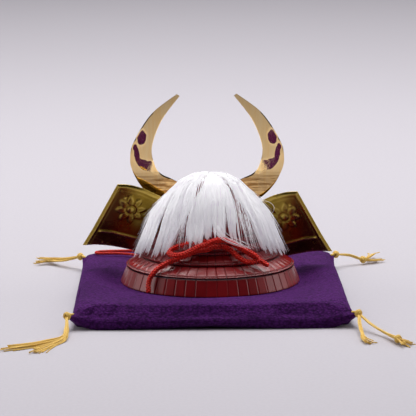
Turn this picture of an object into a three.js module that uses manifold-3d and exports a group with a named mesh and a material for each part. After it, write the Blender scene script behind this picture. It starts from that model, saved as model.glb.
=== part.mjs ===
// Miniature samurai helmet on its display cushion.
// Millimetres, +Z up, +Y is the wearer's front, origin at the middle of the cushion's underside.
import * as THREE from 'three';
import { mergeVertices } from 'three/addons/utils/BufferGeometryUtils.js';
import Module from 'manifold-3d';

const wasm = await Module();
wasm.setup();

// Driving dimensions
const gap = 0.3; // clearance between pieces that rest on or fit in each other
const planRatio = 0.965; // depth over width of the helmet in plan

const cushionWidth = 170; // seam to seam, side to side
const cushionDepth = 181; // seam to seam, back to front
const seamHeight = 9; // height of the cushion's corner points
const cushionCrown = 15; // height of the stuffed top around the helmet
const seatHeight = 11.1; // height of the flat dish that the helmet presses
const seatMargin = 2.5; // how far the dish reaches past the rim
const sidePull = 2.2; // how far the middle of each cushion side is drawn in

const rimRadius = 57.3; // outer radius of the neck guard at its rim
const guardHeight = 31.9; // height of the neck guard, from its rim to the bowl
const guardOverlap = 3.3; // how far the guard's top stands above the bowl's rim
const lameWall = 1.1;
const lameLap = 2; // how far a lame runs on under the one above it
const scaleCount = 52; // scales in a full turn of a lame
const scaleStep = 0.35; // how far one scale stands proud of its neighbour
const stepShare = 0.04; // share of a scale that its step takes

const bowlRadius = 30;
const bowlHeight = 35; // from the bowl's rim to its crown
const bowlWall = 1.2;
const domeShare = 0.72; // share of the bowl's height that is domed

const visorRise = 5; // height of the visor's root above the bowl's rim
const visorDepth = 10;
const visorDrop = 3;
const visorWall = 1.2;
const visorTipDepth = 1.2; // depth that the visor keeps at its two ends
const visorHalfAngle = THREE.MathUtils.degToRad(46);

const wingFootReach = 43.9; // how far to the side a wing's own origin stands
const wingPlaneReach = 35.9; // how far forward the wings' back face stands at the rim
const wingLean = 0.36; // backward lean of the wings, per unit of height
const wingSweep = 0.12; // backward sweep of the wings, per unit of width
const wingWidth = 57; // from the inner top corner to the outer bottom corner
const wingHeight = 53.6; // from the inner bottom corner to the outer top corner
const wingWall = 1;
const wingBorder = 2.1; // width of the raised border, measured towards the wing's middle
const wingRelief = 0.7; // height of border, ridge and flower
const reliefBite = 0.1; // the relief starts this far inside the plate

const crestOffset = -1.1; // the crest stands this far off the middle
const crestReach = bowlRadius + 5; // how far forward the horns stand
const holderWall = 4;
const holderHeight = 16.7;
const holderFootHalf = 8; // half the width of the holder's foot
const socketReach = 12; // from the crest's middle to the middle of a horn's foot
const socketShare = 0.66; // share of the holder's height at which the horn's foot is held
const socketHalf = 7; // half the width of the holder at a socket
const socketMouth = 1; // how far a slot is cut past the holder's edge
const socketAngle = THREE.MathUtils.degToRad(35); // rise of the horn's foot
const tabWidth = 7;
const tabLength = 6;
const hornWall = 1.2;
const hornSpread = 50; // outermost reach of one horn from the crest's middle
const hornHeight = 76.1; // from the horn's foot to its tip
const hornFootHalf = 6.5; // half the width of the horn's foot

const hairTop = 81; // height of the plume's crown above the floor
const hairReach = bowlRadius + 18.5; // side reach of the plume's lowest hair
const hairClear = 0.8; // room between the hair and what it covers
const lockDepth = 1.1;
const deepestParting = 2.9; // the most that locks and partings together cut into the hair
const lockCount = 26;

const bowCordWidth = 3.7;
const chinCordWidth = 2.2;
const threadWidth = 2.6; // a plain strip of a tassel's threads
const tasselKnot = 5.2; // width of a tassel's knot

// What follows from the driving dimensions
const rimHeight = seatHeight + gap;
const bowlRim = rimHeight + guardHeight - guardOverlap;
const flare = rimRadius - bowlRadius;
const domeHeight = bowlHeight * domeShare;
const domeBase = bowlRim + bowlHeight - domeHeight;

const finish = (color, roughness, metalness) =>
  new THREE.MeshStandardMaterial({ color, roughness, metalness });
const materials = {
  redLacquer: finish('#7a1f2b', 0.28, 0.2),
  horns: finish('#d9b26a', 0.1, 1),
  wings: finish('#6f5a1e', 0.25, 1),
  hair: finish('#e8e2e8', 0.5, 0),
  redCord: finish('#d42a1a', 0.6, 0),
  cushion: finish('#5a2a6e', 0.85, 0),
  tassels: finish('#dcb352', 0.55, 0),
};

const model = new THREE.Group();
function place(name, geometry, material) {
  const mesh = new THREE.Mesh(geometry, material);
  mesh.name = name;
  model.add(mesh);
  return mesh;
}

// Volume sign tells which way a closed mesh faces
function faceOut(geometry) {
  const index = geometry.index.array;
  const spot = geometry.attributes.position;
  const a = new THREE.Vector3();
  const b = new THREE.Vector3();
  const c = new THREE.Vector3();
  let volume = 0;
  for (let i = 0; i < index.length; i += 3) {
    a.fromBufferAttribute(spot, index[i]);
    b.fromBufferAttribute(spot, index[i + 1]);
    c.fromBufferAttribute(spot, index[i + 2]);
    volume += a.dot(b.cross(c));
  }
  if (volume < 0) {
    for (let i = 0; i < index.length; i += 3) {
      [index[i], index[i + 1]] = [index[i + 1], index[i]];
    }
  }
  return geometry;
}

// A closed body from loops of equal length; the end loops are closed by strips across them
function loft(loops) {
  const count = loops[0].length;
  const last = (loops.length - 1) * count;
  const faces = [];
  for (let row = 0; row < loops.length - 1; row++) {
    for (let i = 0; i < count; i++) {
      const a = row * count + i;
      const b = row * count + ((i + 1) % count);
      faces.push(a, b, b + count, a, b + count, a + count);
    }
  }
  for (let i = 0; i < count / 2 - 1; i++) {
    const strip = [i, i + 1, count - 2 - i, count - 1 - i];
    faces.push(strip[0], strip[2], strip[1], strip[0], strip[3], strip[2]);
    const end = strip.map((k) => k + last);
    faces.push(end[0], end[1], end[2], end[0], end[2], end[3]);
  }
  const geometry = new THREE.BufferGeometry();
  const spots = loops.flat().flatMap((point) => point.toArray());
  geometry.setAttribute('position', new THREE.Float32BufferAttribute(spots, 3));
  geometry.setIndex(faces);
  return faceOut(geometry);
}

function toSolid(geometry) {
  const plain = geometry.clone();
  plain.deleteAttribute('normal');
  plain.deleteAttribute('uv');
  const merged = faceOut(mergeVertices(plain, 1e-4));
  return new wasm.Manifold(new wasm.Mesh({
    numProp: 3,
    vertProperties: new Float32Array(merged.attributes.position.array),
    triVerts: new Uint32Array(merged.index.array),
  }));
}

function toGeometry(solid) {
  const mesh = solid.getMesh();
  const geometry = new THREE.BufferGeometry();
  geometry.setAttribute('position', new THREE.BufferAttribute(mesh.vertProperties, 3));
  geometry.setIndex(new THREE.BufferAttribute(mesh.triVerts, 1));
  return geometry;
}

const join = (geometries) =>
  toGeometry(geometries.map(toSolid).reduce((sum, solid) => sum.add(solid)));

// A point around the helmet: angle 0 is the back, positive turns towards +X
const around = (angle, reach, height) => new THREE.Vector3(
  reach * Math.sin(angle), -planRatio * reach * Math.cos(angle), height);

function tube(points, width, sides, steps) {
  const path = new THREE.CatmullRomCurve3(points.map((p) => new THREE.Vector3(...p)), false, 'centripetal');
  const section = new THREE.Shape();
  for (let i = 0; i < sides; i++) {
    const angle = (2 * Math.PI * i) / sides;
    const spot = [0.5 * width * Math.cos(angle), 0.5 * width * Math.sin(angle)];
    if (i === 0) section.moveTo(...spot);
    else section.lineTo(...spot);
  }
  return new THREE.ExtrudeGeometry(section, { steps, extrudePath: path, bevelEnabled: false });
}

// Cushion: rings from the flat seat out to the pinched corners and back under to the flat base
const cushionRings = [
  { out: 0, height: seatHeight },
  { out: 0.3, height: 0.72 * cushionCrown },
  { out: 0.62, height: cushionCrown },
  { out: 0.88, height: 0.9 * cushionCrown },
  { out: 1, height: seamHeight },
  { out: 0.93, height: 0.1 * cushionCrown },
  { out: 0.86, height: 0 },
];
const cushionSides = 48;

function cushionEdge(angle) {
  const side = Math.max(Math.abs(Math.sin(angle)), Math.abs(Math.cos(angle)));
  const cornerness = (1 / side - 1) / (Math.SQRT2 - 1);
  const pull = sidePull * (1 - cornerness);
  return {
    x: ((cushionWidth / 2) * Math.sin(angle)) / side - Math.sign(Math.sin(angle)) * pull * Math.abs(Math.sin(angle)),
    y: ((-cushionDepth / 2) * Math.cos(angle)) / side + Math.sign(Math.cos(angle)) * pull * Math.abs(Math.cos(angle)),
    cornerness,
  };
}

function cushionRing(row) {
  const loop = [];
  for (let i = 0; i < cushionSides; i++) {
    const angle = (2 * Math.PI * (i + 0.5)) / cushionSides + Math.PI / cushionSides;
    const seat = around(angle, rimRadius + seatMargin, seatHeight);
    const edge = cushionEdge(angle);
    // Near a corner the outer rings are pinched to the corner point
    const pinch = row.out > 0.7 && row.height > 0 ? row.out * Math.pow(edge.cornerness, 6) : 0;
    loop.push(new THREE.Vector3(
      THREE.MathUtils.lerp(seat.x, edge.x, row.out),
      THREE.MathUtils.lerp(seat.y, edge.y, row.out),
      THREE.MathUtils.lerp(row.height, seamHeight, pinch),
    ));
  }
  return loop;
}
place('cushion', loft(cushionRings.map(cushionRing)), materials.cushion);

// Neck guard: reaches are shares of the flare, rises are shares of the guard's height
const lameRows = [
  { name: 'shikoro_lame_5', lowReach: 1, lowRise: 0, highReach: 0.854, highRise: 0.313 },
  { name: 'shikoro_lame_4', lowReach: 0.864, lowRise: 0.36, highReach: 0.531, highRise: 0.505 },
  { name: 'shikoro_lame_3', lowReach: 0.531, lowRise: 0.571, highReach: 0.33, highRise: 0.69 },
  { name: 'shikoro_lame_2', lowReach: 0.33, lowRise: 0.759, highReach: 0.165, highRise: 0.853 },
  { name: 'shikoro_lame_1', lowReach: 0.165, lowRise: 0.912, highReach: 0.016, highRise: 1 },
];

function lameProfile(row, below) {
  const low = new THREE.Vector2(bowlRadius + flare * row.lowReach, rimHeight + guardHeight * row.lowRise);
  const seen = new THREE.Vector2(bowlRadius + flare * row.highReach, rimHeight + guardHeight * row.highRise);
  const run = seen.clone().sub(low);
  const slope = run.y / -run.x;
  const tucked = row.name !== 'shikoro_lame_1' && row.name !== 'shikoro_lame_5';
  const high = tucked ? seen.clone().add(new THREE.Vector2(-lameLap, lameLap * slope)) : seen;
  const highInner = below
    ? new THREE.Vector2(high.x, high.y - (lameWall * run.length()) / -run.x)
    : new THREE.Vector2(high.x - (lameWall * run.length()) / run.y, high.y);
  const foot = below
    ? new THREE.Vector2(low.x, below.carries(low.x) + gap)
    : new THREE.Vector2(low.x - lameWall, low.y);
  // The height at which this lame carries the lower edge of the next one
  const carries = (reach) => (tucked ? low.y + (low.x - reach) * slope : high.y);
  return { foot, low, high, highInner, carries };
}

const profiles = {};
let lameBelow = null;
for (const row of lameRows) {
  profiles[row.name] = lameProfile(row, lameBelow);
  lameBelow = profiles[row.name];
}

// The wings' back face is the plane  y + lean z + sweep |x| = wingPlane
const wingPlane = wingPlaneReach + wingLean * rimHeight + wingSweep * wingFootReach;

// Where a lame that has this reach and height runs up against the wings' back face
function endAngle(reach, height) {
  const room = wingPlane - wingLean * height - gap;
  const size = Math.hypot(planRatio * reach, wingSweep * reach);
  return Math.PI - Math.atan2(wingSweep, planRatio) - Math.acos(Math.min(1, room / size));
}

function lame(profile) {
  const corners = [profile.foot, profile.low, profile.high, profile.highInner];
  const end = Math.min(...corners.map((corner) => endAngle(corner.x, corner.y)));
  const scales = Math.round((scaleCount * end) / Math.PI);
  const loops = [];
  for (let i = 0; i < scales; i++) {
    for (const [share, inset] of [[i ? stepShare : 0, scaleStep], [i < scales - 1 ? 1 - stepShare : 1, 0]]) {
      const angle = end * ((2 * (i + share)) / scales - 1);
      loops.push(corners.map((corner, k) =>
        around(angle, corner.x - (k === 1 || k === 2 ? inset : 0), corner.y)));
    }
  }
  return loft(loops);
}
for (const row of lameRows) place(row.name, lame(profiles[row.name]), materials.redLacquer);

// Bowl: a hollow dome on a short upright band
function bowl() {
  const profile = [];
  const steps = 7;
  for (const [radius, height, order] of [[bowlRadius, domeHeight, 1], [bowlRadius - bowlWall, domeHeight - bowlWall, -1]]) {
    const arc = [];
    for (let i = 0; i <= steps; i++) {
      const turn = (Math.PI / 2) * (i / steps);
      arc.push(new THREE.Vector2(radius * Math.sin(turn), domeBase + height * Math.cos(turn)));
    }
    arc[0].x = 0;
    arc.push(new THREE.Vector2(radius, bowlRim));
    profile.push(...(order > 0 ? arc : arc.reverse()));
  }
  const geometry = new THREE.LatheGeometry(profile, 32);
  geometry.rotateX(Math.PI / 2);
  geometry.scale(1, planRatio, 1);
  return toGeometry(toSolid(geometry));
}
place('bowl', bowl(), materials.redLacquer);

// Visor: a crescent that slopes down and forward from the bowl
const visorTop = bowlRim + visorRise;
const visorHeight = (reach) => visorTop - (visorDrop * (reach - bowlRadius)) / visorDepth;
function visor() {
  const loops = [];
  const steps = 14;
  for (let i = 0; i <= steps; i++) {
    const share = (2 * i) / steps - 1;
    const angle = Math.PI + visorHalfAngle * share;
    const inner = bowlRadius + gap;
    const outer = inner + visorTipDepth + (visorDepth - visorTipDepth) * Math.sqrt(Math.max(0, 1 - share ** 2));
    loops.push([
      around(angle, inner, visorHeight(inner)),
      around(angle, outer, visorHeight(outer)),
      around(angle, outer, visorHeight(outer) - visorWall),
      around(angle, inner, visorHeight(inner) - visorWall),
    ]);
  }
  return loft(loops);
}
place('visor', visor(), materials.redLacquer);

// An outline in the x-z plane, given a wall that is centred on a depth
function upright(shape, wall, depth, curveSegments = 12) {
  const geometry = new THREE.ExtrudeGeometry(shape, { depth: wall, bevelEnabled: false, curveSegments });
  geometry.rotateX(Math.PI / 2);
  geometry.translate(0, depth + wall / 2, 0);
  return geometry;
}

// Horn holder: a plate on the visor with a slot for each horn's tab
const crestBack = crestReach - holderWall / 2;
const holderFoot = visorHeight(crestBack / planRatio) + gap;
const along = new THREE.Vector2(Math.cos(socketAngle), Math.sin(socketAngle));
const acrossFoot = new THREE.Vector2(-along.y, along.x);
const socket = new THREE.Vector2(socketReach, holderFoot + holderHeight * socketShare);
const from = (start, forward, sideways) =>
  start.clone().addScaledVector(along, forward).addScaledVector(acrossFoot, sideways);

const mirror = (points, side) => points.map((p) => new THREE.Vector2(crestOffset + side * p.x, p.y));
function closedShape(points) {
  const shape = new THREE.Shape(points);
  shape.closePath();
  return shape;
}

function holder() {
  const half = [
    new THREE.Vector2(holderFootHalf, holderFoot),
    from(socket, 0, -socketHalf),
    from(socket, 0, socketHalf),
  ];
  const outline = [...mirror(half, 1), ...mirror(half, -1).reverse()];
  let solid = toSolid(upright(closedShape(outline), holderWall, crestReach));
  for (const side of [1, -1]) {
    const reach = tabLength + gap;
    const wide = tabWidth / 2 + gap;
    const slot = [
      from(socket, socketMouth, -wide),
      from(socket, socketMouth, wide),
      from(socket, -reach, wide),
      from(socket, -reach, -wide),
    ];
    solid = solid.subtract(toSolid(upright(closedShape(mirror(slot, side)), hornWall + 2 * gap, crestReach)));
  }
  return toGeometry(solid);
}
place('horn_holder', holder(), materials.wings);

// Horns: reach is a share of the spread, rise is a share of the horn's height
const hornOutline = {
  outer: [
    { reach: 0.654, rise: 0.088 },
    { reach: 0.846, rise: 0.197 },
    { reach: 0.97, rise: 0.34 },
    { reach: 1, rise: 0.453 },
    { reach: 0.952, rise: 0.591 },
    { reach: 0.72, rise: 0.829 },
    { reach: 0.385, rise: 1 },
  ],
  inner: [
    { reach: 0.352, rise: 0.982 },
    { reach: 0.588, rise: 0.774 },
    { reach: 0.716, rise: 0.545 },
    { reach: 0.676, rise: 0.381 },
    { reach: 0.59, rise: 0.311 },
    { reach: 0.42, rise: 0.256 },
  ],
};
const hornFoot = from(socket, gap, -hornFootHalf);
const hornSpot = (row) => new THREE.Vector2(hornSpread * row.reach, hornFoot.y + hornHeight * row.rise);

function horn(side) {
  const outer = new THREE.SplineCurve([hornFoot, ...hornOutline.outer.map(hornSpot)]).getPoints(26);
  const inner = new THREE.SplineCurve([
    ...hornOutline.inner.map(hornSpot),
    from(socket, gap, hornFootHalf),
  ]).getPoints(24);
  const tab = [
    from(socket, gap, tabWidth / 2),
    from(socket, -tabLength, tabWidth / 2),
    from(socket, -tabLength, -tabWidth / 2),
    from(socket, gap, -tabWidth / 2),
  ];
  const outline = mirror([...outer, ...inner, ...tab], side);
  return upright(closedShape(outline), hornWall, crestReach);
}
place('horn_left', horn(-1), materials.horns);
place('horn_right', horn(1), materials.horns);

// Side wings: out is a share of the width, up is a share of the height, both in the wing's own plane
const wingOutline = [
  { corner: 'inner bottom', out: -0.09, up: 0.13 },
  { corner: 'bottom edge', out: 0.14, up: 0.2 },
  { corner: 'bottom edge', out: 0.35, up: 0.255 },
  { corner: 'bottom edge', out: 0.52, up: 0.278 },
  { corner: 'outer bottom', out: 0.665, up: 0.27 },
  { corner: 'outer top', out: 0.285, up: 1.115 },
  { corner: 'top edge', out: 0.17, up: 1.106 },
  { corner: 'top edge', out: 0.075, up: 1.08 },
  { corner: 'top edge', out: -0.02, up: 1.042 },
  { corner: 'top edge', out: -0.15, up: 0.965 },
  { corner: 'inner top', out: -0.34, up: 0.86 },
  { corner: 'inner edge', out: -0.3, up: 0.72 },
];
const wingRidge = [
  { out: -0.1, up: 0.36 },
  { out: 0.34, up: 0.5 },
  { out: 0.53, up: 0.527 },
  { out: 0.54, up: 0.475 },
  { out: 0.34, up: 0.448 },
  { out: -0.09, up: 0.31 },
];
const wingFlower = { out: 0.13, up: 0.78, size: 0.17, petals: 8, waist: 0.6 };
const wingSides = {
  fukigaeshi_left: { side: -1, raise: 3.2, spread: 1.3 },
  fukigaeshi_right: { side: 1, raise: -3.2, spread: -1.3 },
};

const wingSpot = (row) => new THREE.Vector2(wingWidth * row.out, wingHeight * row.up);
function inset(points, distance) {
  const centre = points.reduce((sum, p) => sum.add(p), new THREE.Vector2()).divideScalar(points.length);
  return points.map((p) => {
    const toCentre = centre.clone().sub(p);
    return p.clone().addScaledVector(toCentre.normalize(), distance);
  });
}

// The wing lies flat in x-y while its parts are joined, its front face up
function flatPlate(points, wall, base, holes = []) {
  const shape = closedShape(points);
  for (const hole of holes) shape.holes.push(new THREE.Path([...hole].reverse()));
  const geometry = new THREE.ExtrudeGeometry(shape, { depth: wall, bevelEnabled: false });
  geometry.translate(0, 0, base);
  return geometry;
}

// Petals of two points each, with a waist between them
function flower() {
  const centre = wingSpot(wingFlower);
  const corners = wingFlower.petals * 3;
  return Array.from({ length: corners }, (_, i) => {
    const turn = (2 * Math.PI * i) / corners;
    const reach = wingHeight * wingFlower.size * (i % 3 ? 1 : wingFlower.waist);
    return new THREE.Vector2(centre.x + reach * Math.cos(turn), centre.y + reach * Math.sin(turn));
  });
}

function wing({ side, raise, spread }) {
  const outline = wingOutline.map(wingSpot);
  const sunk = wingWall - reliefBite;
  const high = wingRelief + reliefBite;
  const parts = [
    flatPlate(outline, wingWall, 0),
    flatPlate(outline, high, sunk, [inset(outline, wingBorder)]),
    flatPlate(wingRidge.map(wingSpot), high, sunk),
    flatPlate(flower(), high, sunk),
  ];
  const geometry = join(parts);
  const outward = new THREE.Vector3(side, -wingSweep, 0).normalize();
  const normal = new THREE.Vector3(side * wingSweep, 1, wingLean).normalize();
  const upward = new THREE.Vector3().crossVectors(outward, normal).multiplyScalar(side).normalize();
  if (upward.z < 0) upward.negate();
  const corner = new THREE.Vector3(side * wingFootReach, wingPlaneReach, rimHeight);
  const start = corner.addScaledVector(outward, spread).addScaledVector(upward, raise);
  geometry.applyMatrix4(new THREE.Matrix4().makeBasis(outward, upward, normal).setPosition(start));
  return faceOut(geometry);
}
for (const [name, row] of Object.entries(wingSides)) place(name, wing(row), materials.wings);

// Hair: reach is a share of the side reach, rise is a share of the height above the rim,
// spread is how far round the row goes, dome is the matching angle on the bowl under it
const hairRows = [
  { sideReach: 0.062, sideRise: 1, backReach: 0.062, backRise: 1, spread: 165, dome: 86 },
  { sideReach: 0.227, sideRise: 0.983, backReach: 0.227, backRise: 0.983, spread: 160, dome: 68 },
  { sideReach: 0.402, sideRise: 0.921, backReach: 0.39, backRise: 0.914, spread: 150, dome: 50 },
  { sideReach: 0.639, sideRise: 0.741, backReach: 0.588, backRise: 0.784, spread: 122, dome: 33 },
  { sideReach: 0.796, sideRise: 0.606, backReach: 0.68, backRise: 0.655, spread: 114, dome: 16 },
  { sideReach: 0.893, sideRise: 0.438, backReach: 0.732, backRise: 0.55, spread: 112, dome: -6 },
  { sideReach: 1, sideRise: 0.274, backReach: 0.773, backRise: 0.454, spread: 112, dome: null },
];
const hairPartings = [
  { angle: -32, depth: 2.2, width: 7 },
  { angle: 36, depth: 2.8, width: 9 },
];
const bowNotch = { angle: -3, width: 30, height: 0.095 };
const hairColumns = 52;

const bell = (angle, row) => Math.exp(-Math.pow((THREE.MathUtils.radToDeg(angle) - row.angle) / row.width, 2));
const guardCone = (height) => {
  const low = profiles.shikoro_lame_3.low;
  const high = profiles.shikoro_lame_1.low;
  return low.x + ((high.x - low.x) * (height - low.y)) / (high.y - low.y);
};

function hair() {
  const loops = [];
  for (let column = 0; column <= hairColumns; column++) {
    const share = (2 * column) / hairColumns - 1;
    const outer = [];
    const inner = [];
    hairRows.forEach((row, k) => {
      const angle = THREE.MathUtils.degToRad(row.spread) * share;
      const side = Math.abs(angle) > Math.PI / 2 ? 1 : Math.sin(angle) ** 2;
      const fall = k / (hairRows.length - 1);
      const notch = k > 4 ? bowNotch.height * bell(angle, bowNotch) * (k - 4) * 0.5 : 0;
      const rise = THREE.MathUtils.lerp(row.backRise, row.sideRise, side) + notch;
      const reach = hairReach * THREE.MathUtils.lerp(row.backReach, row.sideReach, side);
      const lock = lockDepth * Math.abs(Math.cos(angle * lockCount * 0.5));
      const parting = hairPartings.reduce((sum, p) => sum + p.depth * bell(angle, p), 0);
      const height = rimHeight + (hairTop - rimHeight) * rise;
      outer.push(around(angle, reach - fall * Math.min(deepestParting, lock + parting), height));
      if (row.dome === null) {
        inner.push(around(angle, Math.max(guardCone(height), bowlRadius) + hairClear, height - gap));
      } else {
        const turn = THREE.MathUtils.degToRad(row.dome);
        inner.push(around(
          angle,
          (bowlRadius + 2 * hairClear) * Math.cos(Math.max(0, turn)),
          domeBase + (domeHeight + 2 * hairClear) * Math.sin(turn),
        ));
      }
    });
    loops.push([...outer, ...inner.reverse()]);
  }
  return loft(loops);
}
place('hair_plume', hair(), materials.hair);

// Bow: centre lines of the braided cord, chosen by hand where it lies on the lames
const bowRoutes = {
  bow_loop_left: [
    [-2.2, -35.9, 43.2], [-9.9, -35.0, 41.8], [-15.1, -33.9, 40.9], [-20.8, -32.5, 39.2],
    [-24.8, -32.8, 37.0], [-26.0, -35.4, 35.8], [-23.4, -40.6, 35.3], [-18.1, -43.4, 36.2],
    [-12.8, -42.2, 38.2], [-7.8, -41.3, 40.6], [-2.4, -40.6, 41.9],
  ],
  bow_tail_left: [
    [-2.6, -38.6, 38.2], [-7.8, -38.2, 37.6], [-12.8, -38.3, 36.0], [-18.1, -38.6, 33.7],
    [-22.8, -38.2, 31.7], [-26.8, -38.0, 30.2], [-31.2, -38.7, 27.9], [-35.2, -40.8, 25.0],
    [-38.1, -41.5, 20.8], [-39.1, -43.0, 16.8], [-39.0, -44.4, 14.4], [-38.8, -45.0, 12.6],
  ],
  bow_loop_right: [
    [7.6, -38.9, 44.4], [13.5, -38.4, 42.2], [18.5, -38.9, 39.4], [23.2, -39.3, 36.8],
    [27.0, -40.0, 34.6], [28.9, -39.6, 32.4], [26.6, -40.4, 30.8], [21.7, -41.3, 31.0],
    [17.4, -40.3, 33.2], [14.3, -38.9, 35.9], [11.1, -37.4, 38.4], [7.4, -36.9, 39.8],
  ],
  bow_tail_right: [
    [7.9, -34.4, 44.2], [13.6, -34.3, 41.2], [18.6, -34.8, 38.0], [23.3, -34.8, 35.1],
    [27.3, -35.2, 32.5], [31.0, -36.0, 30.2], [33.9, -37.5, 28.5], [35.4, -38.4, 27.8],
  ],
};
const bowKnot = new THREE.Vector3(2.6, -38.0, 42.0);
const bowKnotSize = new THREE.Vector3(4.3, 3.4, 3.6);

for (const [name, route] of Object.entries(bowRoutes)) {
  place(name, tube(route, bowCordWidth, 8, 16), materials.redCord);
}
const knot = new THREE.SphereGeometry(1, 10, 7);
knot.rotateZ(Math.PI / 2);
knot.scale(bowKnotSize.x, bowKnotSize.y, bowKnotSize.z);
knot.translate(bowKnot.x, bowKnot.y, bowKnot.z);
place('bow_knot', toGeometry(toSolid(knot)), materials.redCord);

// Chin cord: one whole loop from temple to temple, laid on the cushion before the helmet
const chinRoute = [
  [-31.5, 21.5, 30.9], [-32.5, 24.0, 21.5], [-34.5, 29.0, 14.2], [-37.0, 38.0, 12.7],
  [-41.5, 47.0, 14.4], [-48.0, 56.0, 16.6], [-57.0, 62.5, 16.6], [-66.0, 64.8, 16.4],
  [-73.0, 66.2, 16.2], [-75.6, 70.0, 16.0], [-73.0, 73.6, 16.0], [-66.0, 74.4, 16.1],
  [-57.0, 74.2, 16.3], [-44.0, 72.6, 16.5], [-28.0, 69.6, 16.5], [-12.0, 67.8, 16.5],
  [4.0, 67.6, 16.5], [18.0, 65.0, 16.5], [29.0, 58.0, 15.8], [35.0, 48.0, 13.8],
  [36.5, 38.0, 12.7], [34.5, 29.0, 14.2], [32.5, 24.0, 21.5], [31.5, 21.5, 30.9],
];
place('chin_cord', tube(chinRoute, chinCordWidth, 8, 44), materials.redCord);

// Tassels: a knot just off each corner point, and strips of thread lying out on the floor.
// Places are measured from the corner: outward to the side, outward to the end, and up from the floor.
const tassels = {
  tassel_back_left: {
    side: -1,
    end: 1,
    strands: [
      [[14, 10.5, 4.6], [25, 20.5, 2.4], [35.4, 18, 1.6]],
      [[13, 13.5, 5.6], [24, 25.5, 3], [32.5, 36.5, 1.6]],
    ],
  },
  tassel_back_right: {
    side: 1,
    end: 1,
    secondKnot: [21.5, 11, 3.4],
    strands: [
      [[12, 8.5, 7.2], [21.5, 11, 3.4], [28, 13.5, 2.6], [36.7, 21.8, 1.6]],
      [[13, 9, 6.4], [21.5, 11, 3.4], [29.5, 27.5, 3.4], [30.5, 37.5, 2]],
    ],
  },
  tassel_front_left: {
    side: -1,
    end: -1,
    strands: [
      [[2, 16.5, 4.6], [3.5, 27.5, 2.2], [14, 37.5, 1.6], [37.8, 54.7, 1.6]],
      [[1, 17.5, 4], [3, 30.5, 1.8], [11, 43.5, 1.6], [20.5, 64.5, 1.6]],
    ],
  },
  tassel_front_right: {
    side: 1,
    end: -1,
    secondKnot: [21.6, 44, 3],
    strands: [
      [[8, 13.5, 5.4], [15, 26.5, 3], [21.6, 44, 3], [31.4, 50.5, 1.6]],
      [[8, 13, 5.2], [15, 27, 3], [21.6, 44, 3], [26, 56.8, 1.6]],
      [[2, 21.5, 3.4], [3, 36.5, 1.7], [6.3, 46, 1.6]],
    ],
  },
};
const knotStep = (tasselKnot / 2 + gap) * Math.SQRT1_2;

function tassel({ side, end, secondKnot, strands }) {
  const fromCorner = ([outSide, outEnd, height]) =>
    [side * (cushionWidth / 2 + outSide), end * (cushionDepth / 2 + outEnd), height];
  const firstKnot = [knotStep, knotStep, seamHeight];
  const parts = strands.map((route) =>
    tube([firstKnot, ...route].map(fromCorner), threadWidth, 6, 3 * route.length));
  for (const knot of secondKnot ? [firstKnot, secondKnot] : [firstKnot]) {
    const ball = new THREE.IcosahedronGeometry(tasselKnot / 2, 1);
    ball.translate(...fromCorner(knot));
    parts.push(ball);
  }
  return join(parts);
}
for (const [name, row] of Object.entries(tassels)) place(name, tassel(row), materials.tassels);

export default model;
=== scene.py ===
import functools
import math
import random

import bpy
import numpy as np
from mathutils import Matrix, Vector


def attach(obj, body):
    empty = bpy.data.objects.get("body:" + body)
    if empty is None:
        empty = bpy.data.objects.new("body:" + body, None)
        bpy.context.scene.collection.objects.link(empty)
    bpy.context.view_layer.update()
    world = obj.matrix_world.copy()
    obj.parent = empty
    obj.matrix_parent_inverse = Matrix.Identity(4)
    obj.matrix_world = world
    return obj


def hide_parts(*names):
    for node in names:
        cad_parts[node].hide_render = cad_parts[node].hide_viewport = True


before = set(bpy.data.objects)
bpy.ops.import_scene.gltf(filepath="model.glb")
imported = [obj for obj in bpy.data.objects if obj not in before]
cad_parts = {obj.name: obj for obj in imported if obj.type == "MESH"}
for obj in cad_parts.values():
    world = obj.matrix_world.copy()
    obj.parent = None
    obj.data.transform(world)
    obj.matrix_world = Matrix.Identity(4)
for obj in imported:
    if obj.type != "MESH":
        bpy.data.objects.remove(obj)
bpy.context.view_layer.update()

mm = 0.001
planRatio = 0.965  # depth over width of the helmet in plan
hornMiddle = -1.1  # the horns stand a little left of the middle
# The wings' sheet: a point on it, how far it leans back as it rises, and how far it sweeps back as it goes
# out; the lames end on it
wingPlane = {"foot": (43.9, 35.9, 11.4), "lean": 0.36, "sweep": 0.12}


# Camera: the photograph's angle, fitted to the cushion's corners and the neck guard's rim
shot = {"pitch": 9.778, "yaw": 0.818, "roll": -0.345, "distance": 1375.2, "lens": 187.1,
        "target": (-1.226, 0.0, 57.774)}


def makeCamera():
    pitch, yaw, roll = (math.radians(shot[key]) for key in ("pitch", "yaw", "roll"))
    ahead = Vector((math.sin(yaw) * math.cos(pitch), math.cos(yaw) * math.cos(pitch), -math.sin(pitch)))
    right = ahead.cross(Vector((0, 0, 1))).normalized()
    up = right.cross(ahead)
    rolledRight = right * math.cos(roll) + up * math.sin(roll)
    rolledUp = up * math.cos(roll) - right * math.sin(roll)
    camera = bpy.data.objects.new("photoCamera", bpy.data.cameras.new("photoCamera"))
    camera.data.lens = shot["lens"]
    camera.data.clip_end = 100
    turn = Matrix((rolledRight, rolledUp, -ahead)).transposed().to_4x4()
    camera.matrix_world = Matrix.Translation((Vector(shot["target"]) - ahead * shot["distance"]) * mm) @ turn
    bpy.context.scene.collection.objects.link(camera)
    bpy.context.scene.camera = camera


makeCamera()
bpy.context.scene.view_settings.view_transform = "Standard"
print("camera set")


# Shader helpers
def linear(hexText):
    channels = [int(hexText[i:i + 2], 16) / 255 for i in (1, 3, 5)]
    return tuple(c / 12.92 if c <= 0.04045 else ((c + 0.055) / 1.055) ** 2.4 for c in channels) + (1.0,)


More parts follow.
